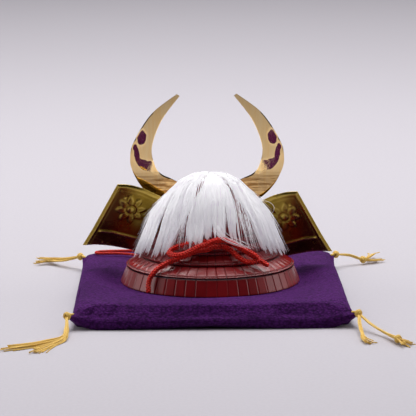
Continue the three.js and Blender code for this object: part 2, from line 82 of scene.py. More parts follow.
def setInputs(tree, node, values):
    # A value may be a plain one, a socket, or a node that stands for its first output in use
    for key, value in values.items():
        if isinstance(value, bpy.types.Node):
            value = next(socket for socket in value.outputs if socket.enabled)
        if isinstance(value, bpy.types.NodeSocket):
            tree.links.new(value, node.inputs[key])
        else:
            node.inputs[key].default_value = value


def addNode(tree, kind, inputs={}, settings={}, stops=()):
    # Stops are (place, colour) pairs of a colour ramp
    made = tree.nodes.new("ShaderNode" + kind)
    for key, value in settings.items():
        setattr(made, key, value)
    setInputs(tree, made, inputs)
    for k, (place, tone) in enumerate(stops):
        made.color_ramp.elements[k].position = place
        made.color_ramp.elements[k].color = linear(tone)
    return made


def makeMaterial(finish):
    # The finish is given a way to add nodes and the place on the piece, and gives back the shader's values
    material = bpy.data.materials.new(finish.__name__)
    material.use_nodes = True
    tree = material.node_tree
    add = functools.partial(addNode, tree)
    setInputs(tree, tree.nodes["Principled BSDF"], finish(add, add("TexCoord").outputs["Object"]))
    return material


# A pattern's scale is 1000 over its size in millimetres
def redLacquerSprayed(add, place):
    # Urethane lacquer sprayed on pressed metal: wet-looking, a faint orange-peel ripple, with painted shade
    # (ambient occlusion) darkening its grooves, seams and slits
    cloud = add("TexNoise", {"Vector": place, "Scale": 1000 / 16, "Detail": 4})
    peel = add("TexNoise", {"Vector": place, "Scale": 1000 / 1.6, "Detail": 2})
    bump = add("Bump", {"Strength": 0.12, "Distance": 0.05 * mm, "Height": peel})
    rough = add("MapRange", {"Value": cloud, "To Min": 0.26, "To Max": 0.36})
    # Painted shade: the colour goes dark where ambient occlusion finds the grooves, seams and slits shut in
    paintedGrooveShade = add("AmbientOcclusion", {"Distance": 1.6 * mm}, {"samples": 6}).outputs["AO"]
    depth = add("MapRange", {"Value": paintedGrooveShade, "From Min": 0.5, "From Max": 0.92})
    base = add("ValToRGB", {"Fac": cloud}, stops=[(0.35, "#80060E"), (0.65, "#960C15")])
    shaded = add("Mix", {"Factor": depth, "A": linear("#1C0204"), "B": base}, {"data_type": "RGBA"})
    return {"Base Color": shaded, "Roughness": rough, "Normal": bump,
            "Coat Weight": 0.3, "Coat Roughness": 0.2, "Specular IOR Level": 0.4}


dents = [  # at: millimetres out from the crest's middle and up from the floor
    {"at": (42.6, 98.3), "size": (2.8, 5.8), "turn": 10, "tilt": 0.27},
    {"at": (46.3, 88.0), "size": (2.0, 7.0), "turn": -6, "tilt": 0.25},
    {"at": (40.4, 80.8), "size": (10.5, 3.2), "turn": 33, "tilt": 0.2},
    {"at": (36.8, 79.6), "size": (5.0, 3.8), "turn": 33, "tilt": 0.2}]
dentWander = 4.5  # millimetres that a dent's edge wanders, half to each side
# Painted reflection on the horns' lower part: heights where it starts and is full, its streaks' grain and
# turn, and its colour
paintedReflection = {"from": 79, "full": 69, "grain": 1.5, "turn": -30, "colour": "#8A5E30"}


def brassPolished(add, place):
    # Thin rolled brass, buffed to a mirror: shows what stands round it, with faint rolling streaks
    streak = add("Mapping", {"Vector": place, "Scale": (1, 1, 0.08)})
    rolling = add("TexNoise", {"Vector": streak, "Scale": 1000 / 1.2, "Detail": 3})
    # Both horns came from one die, so the dents that it left are mirrored about the crest; each dent faces
    # down and shows the cushion
    split = add("SeparateXYZ", {"Vector": place})
    shifted = add("Math", {0: split.outputs["X"], 1: hornMiddle * mm}, {"operation": "SUBTRACT"})
    mirrored = add("Math", {0: shifted}, {"operation": "ABSOLUTE"})
    die = add("CombineXYZ", {"X": mirrored, "Y": split.outputs["Z"]})
    ripple = add("TexNoise", {"Vector": die, "Scale": 1000 / 7, "Detail": 2}).outputs["Color"]
    moved = add("VectorMath", {0: ripple, 1: (dentWander * mm,) * 3, 2: die}, {"operation": "MULTIPLY_ADD"})
    tilt = 0.0
    for dent in dents:
        turned = add("Mapping", {
            "Vector": moved, "Location": [(k + dentWander / 2) * mm for k in (*dent["at"], 0)],
            "Rotation": (0, 0, math.radians(dent["turn"])),
            "Scale": (dent["size"][0] * mm, dent["size"][1] * mm, 1)}, {"vector_type": "TEXTURE"})
        away = add("VectorMath", {0: turned}, {"operation": "LENGTH"})
        share = add("MapRange", {"Value": away, "From Min": 1.25, "From Max": 0.75, "To Max": dent["tilt"]},
                    {"interpolation_type": "SMOOTHSTEP"})
        tilt = add("Math", {0: tilt, 1: share}, {"operation": "MAXIMUM"})
    down = add("CombineXYZ", {"Z": add("Math", {0: tilt, 1: -1.0}, {"operation": "MULTIPLY"})})
    facing = add("NewGeometry").outputs["Normal"]
    leant = add("VectorMath", {0: facing, 1: down}, {"operation": "ADD"})
    straight = add("VectorMath", {0: leant}, {"operation": "NORMALIZE"})
    bump = add("Bump", {"Strength": 0.3, "Distance": 0.05 * mm, "Height": rolling, "Normal": straight})
    rough = add("MapRange", {"Value": rolling, "To Min": 0.04, "To Max": 0.11})
    # Painted reflection: towards the foot, on the side where the hair touches it, brown streaks are painted
    # into the brass's colour, standing for the hair and bow that the mirror shows there
    low = add("MapRange", {"Value": split.outputs["Z"], "From Min": paintedReflection["from"] * mm,
                           "From Max": paintedReflection["full"] * mm}, {"interpolation_type": "SMOOTHSTEP"})
    turned = add("Mapping", {
        "Vector": die, "Rotation": (0, 0, math.radians(paintedReflection["turn"])), "Scale": (0.12, 1, 1)})
    smear = add("TexNoise", {"Vector": turned, "Scale": 1000 / paintedReflection["grain"], "Detail": 3})
    reflectionStreaks = add("MapRange", {
        "Value": smear, "From Min": 0.4, "From Max": 0.55, "To Min": 0.95, "To Max": 0.5})
    hairSide = add("MapRange", {
        "Value": add("SeparateXYZ", {"Vector": facing}).outputs["Y"], "From Min": 0.2, "From Max": -0.2})
    reflectionShare = add("Math", {0: low, 1: reflectionStreaks}, {"operation": "MULTIPLY"})
    reflectionShare = add("Math", {0: reflectionShare, 1: hairSide}, {"operation": "MULTIPLY"})
    brassTone = add("ValToRGB", {"Fac": rolling}, stops=[(0.35, "#FFD894"), (0.65, "#FFE0A4")])
    mixed = add("Mix", {"Factor": reflectionShare, "A": brassTone, "B": linear(paintedReflection["colour"])}, {"data_type": "RGBA"})
    return {"Base Color": mixed, "Metallic": 1.0, "Roughness": rough, "Normal": bump}


def brassPressed(add, place):
    # Brass sheet pressed in a die and lacquered: satin and olive, with a painted highlight in light gold on
    # its high edges
    cloud = add("TexNoise", {"Vector": place, "Scale": 1000 / 14, "Detail": 5})
    grain = add("TexNoise", {"Vector": place, "Scale": 1000 / 0.9, "Detail": 3})
    # Painted highlight: convex edges, found by pointiness, are mixed towards light gold
    high = add("MapRange", {
        "Value": add("NewGeometry").outputs["Pointiness"], "From Min": 0.5, "From Max": 0.56})
    base = add("ValToRGB", {"Fac": cloud}, stops=[(0.35, "#7A6222"), (0.65, "#947A34")])
    lit = add("Mix", {"Factor": high, "A": base, "B": linear("#E8CC6C")}, {"data_type": "RGBA"})
    bump = add("Bump", {"Strength": 0.15, "Distance": 0.05 * mm, "Height": grain})
    rough = add("MapRange", {"Value": cloud, "To Min": 0.2, "To Max": 0.34})
    return {"Base Color": lit, "Metallic": 1.0, "Roughness": rough, "Normal": bump}


def whiteRayonHair(add, place):
    # Bleached rayon fibre, combed straight: silky, each fibre a little lighter or darker than the next;
    # a faint light of its own stands for what scatters through the lock
    fibre = add("NewGeometry").outputs["Random Per Island"]
    shift = add("TexNoise", {"Vector": place, "Scale": 1000 / 5, "Detail": 2})
    mixed = add("Math", {0: fibre, 1: 0.7, 2: shift}, {"operation": "MULTIPLY_ADD"})
    tone = add("ValToRGB", {"Fac": mixed}, stops=[(0.35, "#E2DAE3"), (0.95, "#FFFFFF")])
    return {"Base Color": tone, "Roughness": 0.38, "Specular IOR Level": 0.5, "Sheen Weight": 0.25,
            "Sheen Roughness": 0.4, "Emission Color": linear("#F6F5FF"), "Emission Strength": 0.14}


def redBraidedRayon(add, place):
    # Rayon yarn braided round: a silk gleam on each stitch, and painted shade (ambient occlusion) making the
    # colour deep and dark down between them
    yarn = add("TexNoise", {"Vector": place, "Scale": 1000 / 0.35, "Detail": 2})
    # Painted shade: the colour darkens where ambient occlusion finds the gaps between stitches
    fold = add("AmbientOcclusion", {"Distance": 1.0 * mm}, {"samples": 6}).outputs["AO"]
    bump = add("Bump", {"Strength": 0.4, "Distance": 0.06 * mm, "Height": yarn})
    stitch = add("NewGeometry").outputs["Random Per Island"]
    mixed = add("Math", {0: stitch, 1: 0.22, 2: fold}, {"operation": "MULTIPLY_ADD"})
    tone = add("ValToRGB", {"Fac": mixed}, stops=[(0.66, "#1C0102"), (1.0, "#E8240F")])
    return {"Base Color": tone, "Roughness": 0.48, "Normal": bump, "Specular IOR Level": 0.3}


def purpleCrepe(add, place):
    # Rayon crepe woven with twisted weft: matt, with pebbles about 1 mm apart drawn along the weft; painted
    # shade darkens the colour between the pebbles and a painted highlight lightens their tops
    weft = add("Mapping", {"Vector": place, "Scale": (0.7, 1.0, 1.0)})
    pebble = add("TexVoronoi", {"Vector": weft, "Scale": 1000 / 1.25, "Smoothness": 0.5},
                 {"feature": "SMOOTH_F1"})
    cloud = add("TexNoise", {"Vector": place, "Scale": 1000 / 30, "Detail": 4})
    fuzz = add("TexNoise", {"Vector": weft, "Scale": 1000 / 0.7, "Detail": 4})
    both = add("Math", {0: pebble, 1: fuzz}, {"operation": "ADD"})
    # Painted shade and highlight: the colour follows the pebbles' height, dark in their hollows, light on
    # their tops
    shade = add("MapRange", {"Value": both, "From Min": 0.4, "From Max": 1.3, "To Min": 1.5, "To Max": 0.4})
    base = add("ValToRGB", {"Fac": cloud}, stops=[(0.35, "#3F1650"), (0.65, "#4B1C5E")])
    tone = add("Mix", {"Factor": 1.0, "A": base, "B": shade}, {"data_type": "RGBA", "blend_type": "MULTIPLY"})
    bump = add("Bump", {"Strength": 0.8, "Distance": 0.35 * mm, "Height": both}, {"invert": True})
    return {"Base Color": tone, "Roughness": 0.85, "Normal": bump, "Specular IOR Level": 0.06,
            "Sheen Weight": 0.3, "Sheen Roughness": 0.4, "Sheen Tint": linear("#8A4AA8")}


def yellowTwistedThread(add, place):
    # Twisted rayon embroidery thread: its twist is painted in the colour, a painted highlight bright on the
    # twist's crests and painted shade warm and dark in its grooves
    twist = add("TexWave", {"Vector": place, "Scale": 1000 / 1.1, "Distortion": 6}).outputs["Fac"]
    # Painted highlight and shade: the wave's stripes lighten the colour on the crests and darken it in the
    # grooves
    tone = add("ValToRGB", {"Fac": twist}, stops=[(0.2, "#D0A032"), (0.8, "#F0D078")])
    return {"Base Color": tone, "Roughness": 0.5, "Specular IOR Level": 0.3}


def paleBackdrop(add, place):
    # Matt paper roll, with the faint tooth of its surface
    tooth = add("TexNoise", {"Vector": place, "Scale": 1000 / 2, "Detail": 2})
    tone = add("ValToRGB", {"Fac": tooth}, stops=[(0.35, "#B8B4BA"), (0.65, "#BBB7BD")])
    return {"Base Color": tone, "Roughness": 0.9, "Specular IOR Level": 0.1}


materials = {slotName: makeMaterial(finish) for slotName, finish in (
    ("red_lacquer", redLacquerSprayed), ("polished_brass", brassPolished), ("gold_plate", brassPressed),
    ("white_hair", whiteRayonHair), ("red_braid", redBraidedRayon), ("purple_crepe", purpleCrepe),
    ("yellow_thread", yellowTwistedThread))}
print("materials made")


# Mesh helpers; every length in them is in millimetres
def makePiece(name, points, faces, slotName, nodes):
    mesh = bpy.data.meshes.new(name)
    mesh.from_pydata((np.asarray(points, float) * mm).tolist(), [], [list(map(int, f)) for f in faces])
    mesh.polygons.foreach_set("use_smooth", [True] * len(mesh.polygons))
    mesh.update()
    piece = bpy.data.objects.new(name, mesh)
    bpy.context.scene.collection.objects.link(piece)
    piece.data.materials.append(materials[slotName])
    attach(piece, "root")
    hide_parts(*nodes)
    return piece


def loopFaces(rows, columns):
    faces = []
    for row in range(rows - 1):
        start, after = row * columns, (row + 1) * columns
        for i in range(columns):
            j = (i + 1) % columns
            faces.append((start + i, start + j, after + j, after + i))
    return faces


def tubeFaces(rows, columns):
    ends = [tuple(range(columns))[::-1], tuple((rows - 1) * columns + k for k in range(columns))]
    return loopFaces(rows, columns) + ends


def loftLoops(loops):
    loops = np.asarray(loops, float)
    rows, columns = loops.shape[:2]
    faces = loopFaces(rows, columns)
    last = (rows - 1) * columns
    for i in range(columns // 2 - 1):
        strip = (i, i + 1, columns - 2 - i, columns - 1 - i)
        faces += [strip[::-1], tuple(last + k for k in strip)]
    points = loops.reshape(-1, 3)
    return points, facedOut(points, faces)


def sheetBetween(front, back):
    # Two square grids of points, joined round their rims
    n = len(front)
    faces = []
    for i in range(n - 1):
        for j in range(n - 1):
            a = i * n + j
            faces.append((a, a + 1, a + n + 1, a + n))
            faces.append(tuple(k + n * n for k in (a + n, a + n + 1, a + 1, a)))
    ring = [j for j in range(n)] + [i * n + n - 1 for i in range(1, n)]
    ring += [(n - 1) * n + j for j in range(n - 2, -1, -1)] + [i * n for i in range(n - 2, 0, -1)]
    for a, b in zip(ring, ring[1:] + ring[:1]):
        faces.append((b, a, a + n * n, b + n * n))
    points = np.vstack((front.reshape(-1, 3), back.reshape(-1, 3)))
    return points, facedOut(points, faces)


def facedOut(points, faces):
    triangles = np.array([(f[0], f[i], f[i + 1]) for f in faces for i in range(1, len(f) - 1)])
    a, b, c = (points[triangles[:, k]] for k in range(3))
    return faces if np.einsum("ij,ij->i", a, np.cross(b, c)).sum() > 0 else [f[::-1] for f in faces]


def around(angle, reach, height):
    return np.stack(np.broadcast_arrays(
        reach * np.sin(angle), -planRatio * reach * np.cos(angle), height), -1)


def bump(distance, width, power=2):
    # A soft rise, 1 in its middle
    return np.exp(-(distance / width) ** power)


def eased(share):
    return share * share * (3 - 2 * share)


def hermite(p1, p2, t1, t2, perSpan):
    return [p1 + t1 * t + (3 * (p2 - p1) - 2 * t1 - t2) * t ** 2 + (2 * (p1 - p2) + t1 + t2) * t ** 3
            for t in np.arange(perSpan) / perSpan]


def uniformSpline(points, perSpan):
    p = np.array([points[0], *points, points[-1]], float)
    out = []
    for p0, p1, p2, p3 in zip(p, p[1:], p[2:], p[3:]):
        out += hermite(p1, p2, (p2 - p0) / 2, (p3 - p1) / 2, perSpan)
    return np.array(out + [p[-1]])


def smoothRoute(points, perSpan):
    # Centripetal spline through the points, straight on past both ends
    p = np.asarray(points, float)
    p = np.vstack((2 * p[0] - p[1], p, 2 * p[-1] - p[-2]))
    out = []
    for p0, p1, p2, p3 in zip(p, p[1:], p[2:], p[3:]):
        d0, d1, d2 = (math.sqrt(np.linalg.norm(b - a)) for a, b in ((p0, p1), (p1, p2), (p2, p3)))
        t1 = ((p1 - p0) / d0 - (p2 - p0) / (d0 + d1) + (p2 - p1) / d1) * d1
        t2 = ((p2 - p1) / d1 - (p3 - p1) / (d1 + d2) + (p3 - p2) / d2) * d1
        out += hermite(p1, p2, t1, t2, perSpan)
    return np.array(out + [p[-2]])


def waysAlong(line):
    return np.concatenate(([0], np.cumsum(np.linalg.norm(np.diff(line, axis=0), axis=1))))


def evenPoints(line, count):
    ways = waysAlong(line)
    stops = np.linspace(0, ways[-1], count)
    return np.stack([np.interp(stops, ways, line[:, k]) for k in range(line.shape[1])], 1)


def carriedFrames(route):
    # Two directions across the route that never spin about it
    along = np.gradient(route, axis=0)
    along /= np.linalg.norm(along, axis=1)[:, None]
    side = np.cross(along[0], (0.2, 0.3, 1.0))
    sides = []
    for direction in along:
        side = side - direction * side.dot(direction)
        side = side / np.linalg.norm(side)
        sides.append(side)
    sides = np.array(sides)
    return sides, np.cross(along, sides)


def tubeMesh(route, radii, sideCount):
    sides, ups = carriedFrames(route)
    turn = 2 * np.pi * np.arange(sideCount) / sideCount
    ring = np.cos(turn)[None, :, None] * sides[:, None] + np.sin(turn)[None, :, None] * ups[:, None]
    points = (route[:, None] + ring * np.asarray(radii)[:, None, None]).reshape(-1, 3)
    return points, tubeFaces(len(route), sideCount)


def joined(parts):
    points, faces, count = [], [], 0
    for partPoints, partFaces in parts:
        points.append(partPoints)
        faces += [tuple(count + k for k in f) for f in partFaces]
        count += len(partPoints)
    return np.vstack(points), faces


# Braided cord: rows of stitches round a core, slanting to and fro like ears of wheat; drawn 1.7 mm apart,
# coarser than the yarn, so that they show; the shares are of the cord's width
braid = {"rows": 6, "slant": 32, "step": 0.5,
         "stitch": 0.46, "core": 0.68, "long": 0.19, "wide": 0.152, "thick": 0.17}  # shares


def stitchShape(stops, sides):
    # One yarn's bulge, pointed at both ends, one unit in half length, width and thickness
    turn = 2 * np.pi * np.arange(sides) / sides
    stops = np.array(stops)[:, None]
    size = np.sqrt(1 - stops * stops)
    rings = np.stack((stops + 0 * turn, np.cos(turn) * size, np.sin(turn) * size), -1)
    return rings.reshape(-1, 3), tubeFaces(len(stops), sides)


def braidedCord(route, width):
    size = waysAlong(route)[-1]
    stops = np.linspace(0, size, max(4, int(round(size / braid["step"]))) + 1)
    route = evenPoints(route, len(stops))
    sides, ups = carriedFrames(route)
    alongs = np.cross(sides, ups)
    parts = [tubeMesh(route, np.full(len(route), braid["core"] * width / 2), 10)]
    # The thin cord's stitches are too small to need as many sides
    shape, shapeFaces = (
        stitchShape((-0.85, 0, 0.85), 5) if width < 3 else stitchShape((-0.92, -0.4, 0.4, 0.92), 6))
    pitch = braid["stitch"] * width
    reach = (0.5 - braid["thick"]) * width
    for row in range(braid["rows"]):
        turn = 2 * math.pi * row / braid["rows"]
        slant = math.radians(braid["slant"]) * (1 if row % 2 else -1)
        for stop in np.arange(pitch * (0.5 + 0.5 * (row % 2)), stops[-1] - pitch * 0.3, pitch):
            at = lambda values: np.array([np.interp(stop, stops, values[:, k]) for k in range(3)])
            middle, side, up, along = at(route), at(sides), at(ups), at(alongs)
            out = side * math.cos(turn) + up * math.sin(turn)
            across = np.cross(along, out)
            longWay = along * math.cos(slant) + across * math.sin(slant)
            wideWay = np.cross(out, longWay)
            axes = np.array((longWay * braid["long"], wideWay * braid["wide"], out * braid["thick"])) * width
            parts.append((middle + out * reach + shape @ axes, shapeFaces))
    return joined(parts), route


bow = {"width": 3.7, "overlap": 1.4}  # how far the knot's cords reach into the others
bowRoutes = {
    "bow_loop_left": [
        (-2.2, -35.9, 43.2), (-9.9, -35.0, 41.8), (-15.1, -33.9, 40.9), (-20.8, -32.5, 39.2),
        (-24.8, -32.8, 37.0), (-26.0, -35.4, 35.8), (-23.4, -40.6, 35.3), (-18.1, -43.4, 36.2),
        (-12.8, -42.2, 38.2), (-7.8, -41.3, 40.6), (-2.4, -40.6, 41.9)],
    "bow_tail_left": [
        (-2.6, -38.6, 38.2), (-7.8, -38.2, 37.6), (-12.8, -38.3, 36.0), (-18.1, -38.6, 33.7),
        (-22.8, -38.2, 31.7), (-26.8, -38.0, 30.2), (-31.2, -38.7, 27.9), (-35.2, -40.8, 25.0),
        (-38.1, -41.5, 20.8), (-39.1, -43.0, 16.8), (-39.0, -44.4, 14.4), (-38.8, -45.0, 12.6)],
    "bow_loop_right": [
        (7.6, -38.9, 44.4), (13.5, -38.4, 42.2), (18.5, -38.9, 39.4), (23.2, -39.3, 36.8),
        (27.0, -40.0, 34.6), (28.9, -39.6, 32.4), (26.6, -40.4, 30.8), (21.7, -41.3, 31.0),
        (17.4, -40.3, 33.2), (14.3, -38.9, 35.9), (11.1, -37.4, 38.4), (7.4, -36.9, 39.8)],
    "bow_tail_right": [
        (7.9, -34.4, 44.2), (13.6, -34.3, 41.2), (18.6, -34.8, 38.0), (23.3, -34.8, 35.1),
        (27.3, -35.2, 32.5), (31.0, -36.0, 30.2), (33.9, -37.5, 28.5), (35.4, -38.4, 27.8)]}
chin = {"width": 2.2}
chinRoute = [
    (-31.5, 21.5, 30.9), (-32.5, 24.0, 21.5), (-34.5, 29.0, 14.2), (-37.0, 38.0, 12.7),
    (-41.5, 47.0, 14.4), (-48.0, 56.0, 16.6), (-57.0, 62.5, 16.6), (-66.0, 64.8, 16.4),
    (-73.0, 66.2, 16.2), (-75.6, 70.0, 16.0), (-73.0, 73.6, 16.0), (-66.0, 74.4, 16.1),
    (-57.0, 74.2, 16.3), (-44.0, 72.6, 16.5), (-28.0, 69.6, 16.5), (-12.0, 67.8, 16.5),
    (4.0, 67.6, 16.5), (18.0, 65.0, 16.5), (29.0, 58.0, 15.8), (35.0, 48.0, 13.8),
    (36.5, 38.0, 12.7), (34.5, 29.0, 14.2), (32.5, 24.0, 21.5), (31.5, 21.5, 30.9)]


def layCord(node, points, width):
    mesh, route = braidedCord(smoothRoute(points, 10), width)
    piece = makePiece(node + "_braid", *mesh, "red_braid", [node])
    length = float(np.linalg.norm(np.diff(route, axis=0), axis=1).sum())
    print(node, "length", round(length, 1), "mm")


for node, points in bowRoutes.items():
    layCord(node, points, bow["width"])
layCord("chin_cord", chinRoute, chin["width"])


def bowKnot():
    # The cords cross in the knot: each crossing starts a little inside one cord and ends inside another
    crossings = [
        ("bow_loop_left", -1, [(0.5, -40.6, 43.6), (3.6, -40.2, 44.6)], "bow_loop_right", 0),
        ("bow_tail_left", 0, [(1.0, -38.2, 39.6), (4.4, -37.4, 39.9)], "bow_loop_right", -1),
        ("bow_loop_left", 0, [(1.2, -36.0, 41.6), (4.6, -35.4, 42.4)], "bow_tail_right", 0)]

    def inside(node, end):
        tip, inner = (np.array(bowRoutes[node][k]) for k in ((0, 1) if end == 0 else (-1, -2)))
        return tip + (inner - tip) / np.linalg.norm(inner - tip) * bow["overlap"], tip

    parts = []
    for first, firstEnd, middle, second, secondEnd in crossings:
        route = [*inside(first, firstEnd), *map(np.array, middle), *inside(second, secondEnd)[::-1]]
        parts.append(braidedCord(smoothRoute(route, 10), bow["width"])[0])
    return makePiece("bow_knot_braid", *joined(parts), "red_braid", ["bow_knot"])


bowKnot()
print("cords laid")


# Neck guard: five lames, each a row of lacquered scales
guard = {
    "pitch": 360 / 52,         # degrees from scale to scale
    "columnsPerScale": 24,
    "seamWidth": 0.05,         # share of a scale
    "seamDepth": 0.4,
    "scaleTilt": 0.22,
    "edgeRound": 0.35,
    "toothPitch": 1.2,         # millimetres between the teeth of the lower edge
    "toothDepth": 0.5,
    "beadGroove": 0.6,
    "slitDepth": 0.84,
    "slitLength": 5.4}
# Each lame: foot, lower edge, upper end and inner upper end as (reach, height), its last angle, and the reach
# at which the next lame covers it
lames = {
    "shikoro_lame_5": ([(56.2, 11.4), (57.3, 11.4), (53.3, 21.4), (52.1, 21.4)], 128.8, None),
    "shikoro_lame_4": ([(53.6, 21.7), (53.6, 22.9), (42.5, 28.55), (42.5, 27.3)], 128.8, 44.5),
    "shikoro_lame_3": ([(44.5, 27.8), (44.5, 29.6), (37.0, 34.8), (37.0, 33.45)], 135.0, 39.0),
    "shikoro_lame_2": ([(39.0, 33.7), (39.0, 35.6), (32.5, 39.9), (32.5, 38.6)], 140.0, 34.5),
    "shikoro_lame_1": ([(34.5, 38.9), (34.5, 40.5), (30.45, 43.3), (30.45, 41.95)], 145.0, 30.5)}


def lameProfile(corners, inwardFoot):
    # Rows along the outer face from its lower edge, then round to the inner one, as (reach, height); the ways
    # are the rows' distances from the edge, and -1 off the outer face
    foot, low, high, inner = (np.array(c, float) for c in corners)
    if inwardFoot:
        foot = foot - (0.9, 0)
    run = high - low
    size = np.linalg.norm(run)
    worked = (0, 0.12, 0.32, 0.55, 0.8, 1.0, 1.2, 1.45)  # close together where the edge is worked
    ways = np.concatenate((worked, np.linspace(1.8, size, max(6, int(size / 0.75)))))
    rows = [foot + (low - foot) * k for k in (0.0, 0.35, 0.7)] + [low + run * k / size for k in ways]
    rows += [(high + inner) / 2, inner] + [inner + (foot - inner) * k for k in (0.33, 0.66)]
    ways = np.concatenate((np.full(3, -1.0), ways, np.full(4, -1.0)))
    if len(rows) % 2:
        rows.insert(-2, inner + (foot - inner) * 0.15)
        ways = np.append(ways, -1.0)
    return np.array(rows), ways, run / size, size


def lameMesh(name):
    corners, lastAngle, cover = lames[name]
    spots, ways, along, size = lameProfile(corners, bool(cover))
    out = np.array((along[1], -along[0]))
    face = ways >= 0
    end = min(math.radians(lastAngle), lameEnd(corners))
    pitch = math.radians(guard["pitch"])
    count = int(round(2 * end / pitch * guard["columnsPerScale"]))
    angles = np.linspace(-end, end, count + 1)
    scale = angles / pitch + 0.5
    index = np.floor(scale)
    within = scale - index
    draw = random.Random(name)
    tilts = {k: (draw.uniform(-1, 1), draw.uniform(-1, 1), draw.uniform(0.6, 1.3)) for k in range(-40, 41)}
    tilt = np.array([tilts[int(k)] for k in index])
    seam = bump(np.minimum(within, 1 - within), guard["seamWidth"]) * tilt[:, 2]
    # Each scale is flat across, so it catches the light as one panel
    flat = math.cos(pitch / 2) / np.cos((within - 0.5) * pitch)
    offset = np.zeros((len(angles), len(spots)))
    leaning = tilt[:, :1] * (within[:, None] - 0.5) + tilt[:, 1:2] * 0.5 * (ways[None] / size - 0.5)
    offset += face * (guard["scaleTilt"] * leaning - guard["seamDepth"] * seam[:, None])
    notch = 0
    if cover:
        tooth = np.abs(np.sin(angles * corners[1][0] * np.pi / guard["toothPitch"])) - 0.5
        offset += bump(ways - 0.45, 0.5) * face * (guard["toothDepth"] * tooth[:, None] - 0.2)
        offset -= guard["beadGroove"] * bump(ways - 1.2, 0.25) * face
        # Lacing slits below the next lame; they stand open on the left and are filled with lacquer elsewhere
        half = guard["slitLength"] / 2
        row = np.clip(1.6 - np.abs(spots[:, 0] - cover - 0.4 - half) / half * 1.5, 0, 1) * face
        slit = np.clip(np.cos(2 * np.pi * scale) * 4 + 0.2, 0, 1)
        pierced = bump(np.degrees(angles) + 60, 30, 6) + 0.3 * bump(np.degrees(angles) - 62, 24, 4)
        offset -= guard["slitDepth"] * (pierced * slit)[:, None] * row
        notch = 0.3 * tooth[:, None] * (np.arange(len(spots)) < 5)
    offset = np.clip(offset, -0.85, 0.3)
    offset -= np.exp(-np.abs(ways) / guard["edgeRound"]) * face * guard["edgeRound"] * 0.5
    inward = (1 + math.cos(pitch / 2)) / 2  # the inner face runs smoothly round, half as deep as the flats
    reach = (spots[:, 0] + out[0] * offset + notch) * np.where(face, flat[:, None], inward)
    height = spots[:, 1] + out[1] * offset
    return around(angles[:, None], reach, height)


def lameEnd(corners):
    # The lames stop just behind the wings' back face
    (footX, footY, footZ), lean, sweep = wingPlane["foot"], wingPlane["lean"], wingPlane["sweep"]
    ends = []
    for reach, height in corners:
        room = footY + lean * footZ + sweep * footX - lean * height - 0.3
        size = math.hypot(planRatio * reach, sweep * reach)
        ends.append(math.pi - math.atan2(sweep, planRatio) - math.acos(min(1, room / size)))
    return min(ends)


for name in lames:
    makePiece(name + "_scales", *loftLoops(lameMesh(name)), "red_lacquer", [name])
print("neck guard made")


# Bowl: a smooth raised dome on an upright band, with one low ridge at its foot
dome = {"radius": 30.0, "wall": 1.2, "base": 49.8, "height": 25.2, "columns": 128}


def bowlShell():
    outer, inner = [], []
    for k in range(24):
        turn = math.pi / 2 * k / 24
        outer.append((dome["radius"] * math.cos(turn), dome["base"] + dome["height"] * math.sin(turn)))
        inner.append(((dome["radius"] - dome["wall"]) * math.cos(turn),
                      dome["base"] + (dome["height"] - dome["wall"]) * math.sin(turn)))
    band = [(30.0, 40.3), (29.9, 40.0), (28.9, 40.0), (28.8, 40.3)]
    profile = outer[::-1] + [(30.0, 46.6), (30.35, 46.1), (30.35, 45.6), (30.0, 45.1)] + band + inner
    angles = np.linspace(0, 2 * np.pi, dome["columns"], endpoint=False)
    rings = [around(angles, reach, height) for reach, height in profile]
    points = np.vstack([np.vstack(rings), [(0, 0, dome["base"] + dome["height"])],
                        [(0, 0, dome["base"] + dome["height"] - dome["wall"])]])
    columns = dome["columns"]
    faces = loopFaces(len(profile), columns)
    top, under = len(profile) * columns, len(profile) * columns + 1
    last = (len(profile) - 1) * columns
    faces += [(top, (i + 1) % columns, i) for i in range(columns)]
    faces += [(under, last + i, last + (i + 1) % columns) for i in range(columns)]
    return points, facedOut(points, faces)


makePiece("bowl_shell", *bowlShell(), "red_lacquer", ["bowl"])

visorShape = {"halfAngle": 46, "reach": 30.3, "top": 45.0, "drop": 3.0, "depth": 10.0, "wall": 1.2,
              "bead": 0.35, "columns": 96}


def visorShell():
    loops = []
    half = math.radians(visorShape["halfAngle"])
    for share in np.linspace(-1, 1, visorShape["columns"]):
        angle = math.pi + half * share
        inner, wall, bead = (visorShape[key] for key in ("reach", "wall", "bead"))
        outer = inner + 1.2 + (visorShape["depth"] - 1.2) * math.sqrt(max(0, 1 - share * share))
        middle = (inner + outer) / 2
        slope = visorShape["drop"] / visorShape["depth"]
        drop = lambda reach: visorShape["top"] - slope * (reach - dome["radius"])
        ring = [(inner, drop(inner)), (middle, drop(middle)), (outer - 0.9, drop(outer - 0.9)),
                (outer - 0.6, drop(outer) + bead * 0.6), (outer - 0.2, drop(outer) + bead * 0.4),
                (outer, drop(outer) - 0.2), (outer, drop(outer) - wall + 0.2),
                (outer - 0.3, drop(outer) - wall), (middle, drop(middle) - wall), (inner, drop(inner) - wall)]
        loops.append([around(angle, reach, height) for reach, height in ring])
    return loftLoops(loops)


makePiece("visor_shell", *visorShell(), "red_lacquer", ["visor"])
print("bowl and visor made")


# Horns: thin crescents; their outlines are shares of the crest's spread and height
crest = {"middle": hornMiddle, "depth": 35.0, "spread": 50.0, "foot": 50.6, "height": 76.1, "wall": 1.2,
         "bevel": 0.1, "warp": 0.06, "waves": 1.1, "rows": 120}
hornOuter = [(0.33, 0.0), (0.654, 0.088), (0.846, 0.197), (0.97, 0.34), (1.0, 0.453), (0.952, 0.591),
             (0.72, 0.829), (0.385, 1.0)]
hornInner = [(0.172, 0.142), (0.42, 0.256), (0.59, 0.311), (0.676, 0.381), (0.716, 0.545), (0.588, 0.774),
             (0.352, 0.982)]


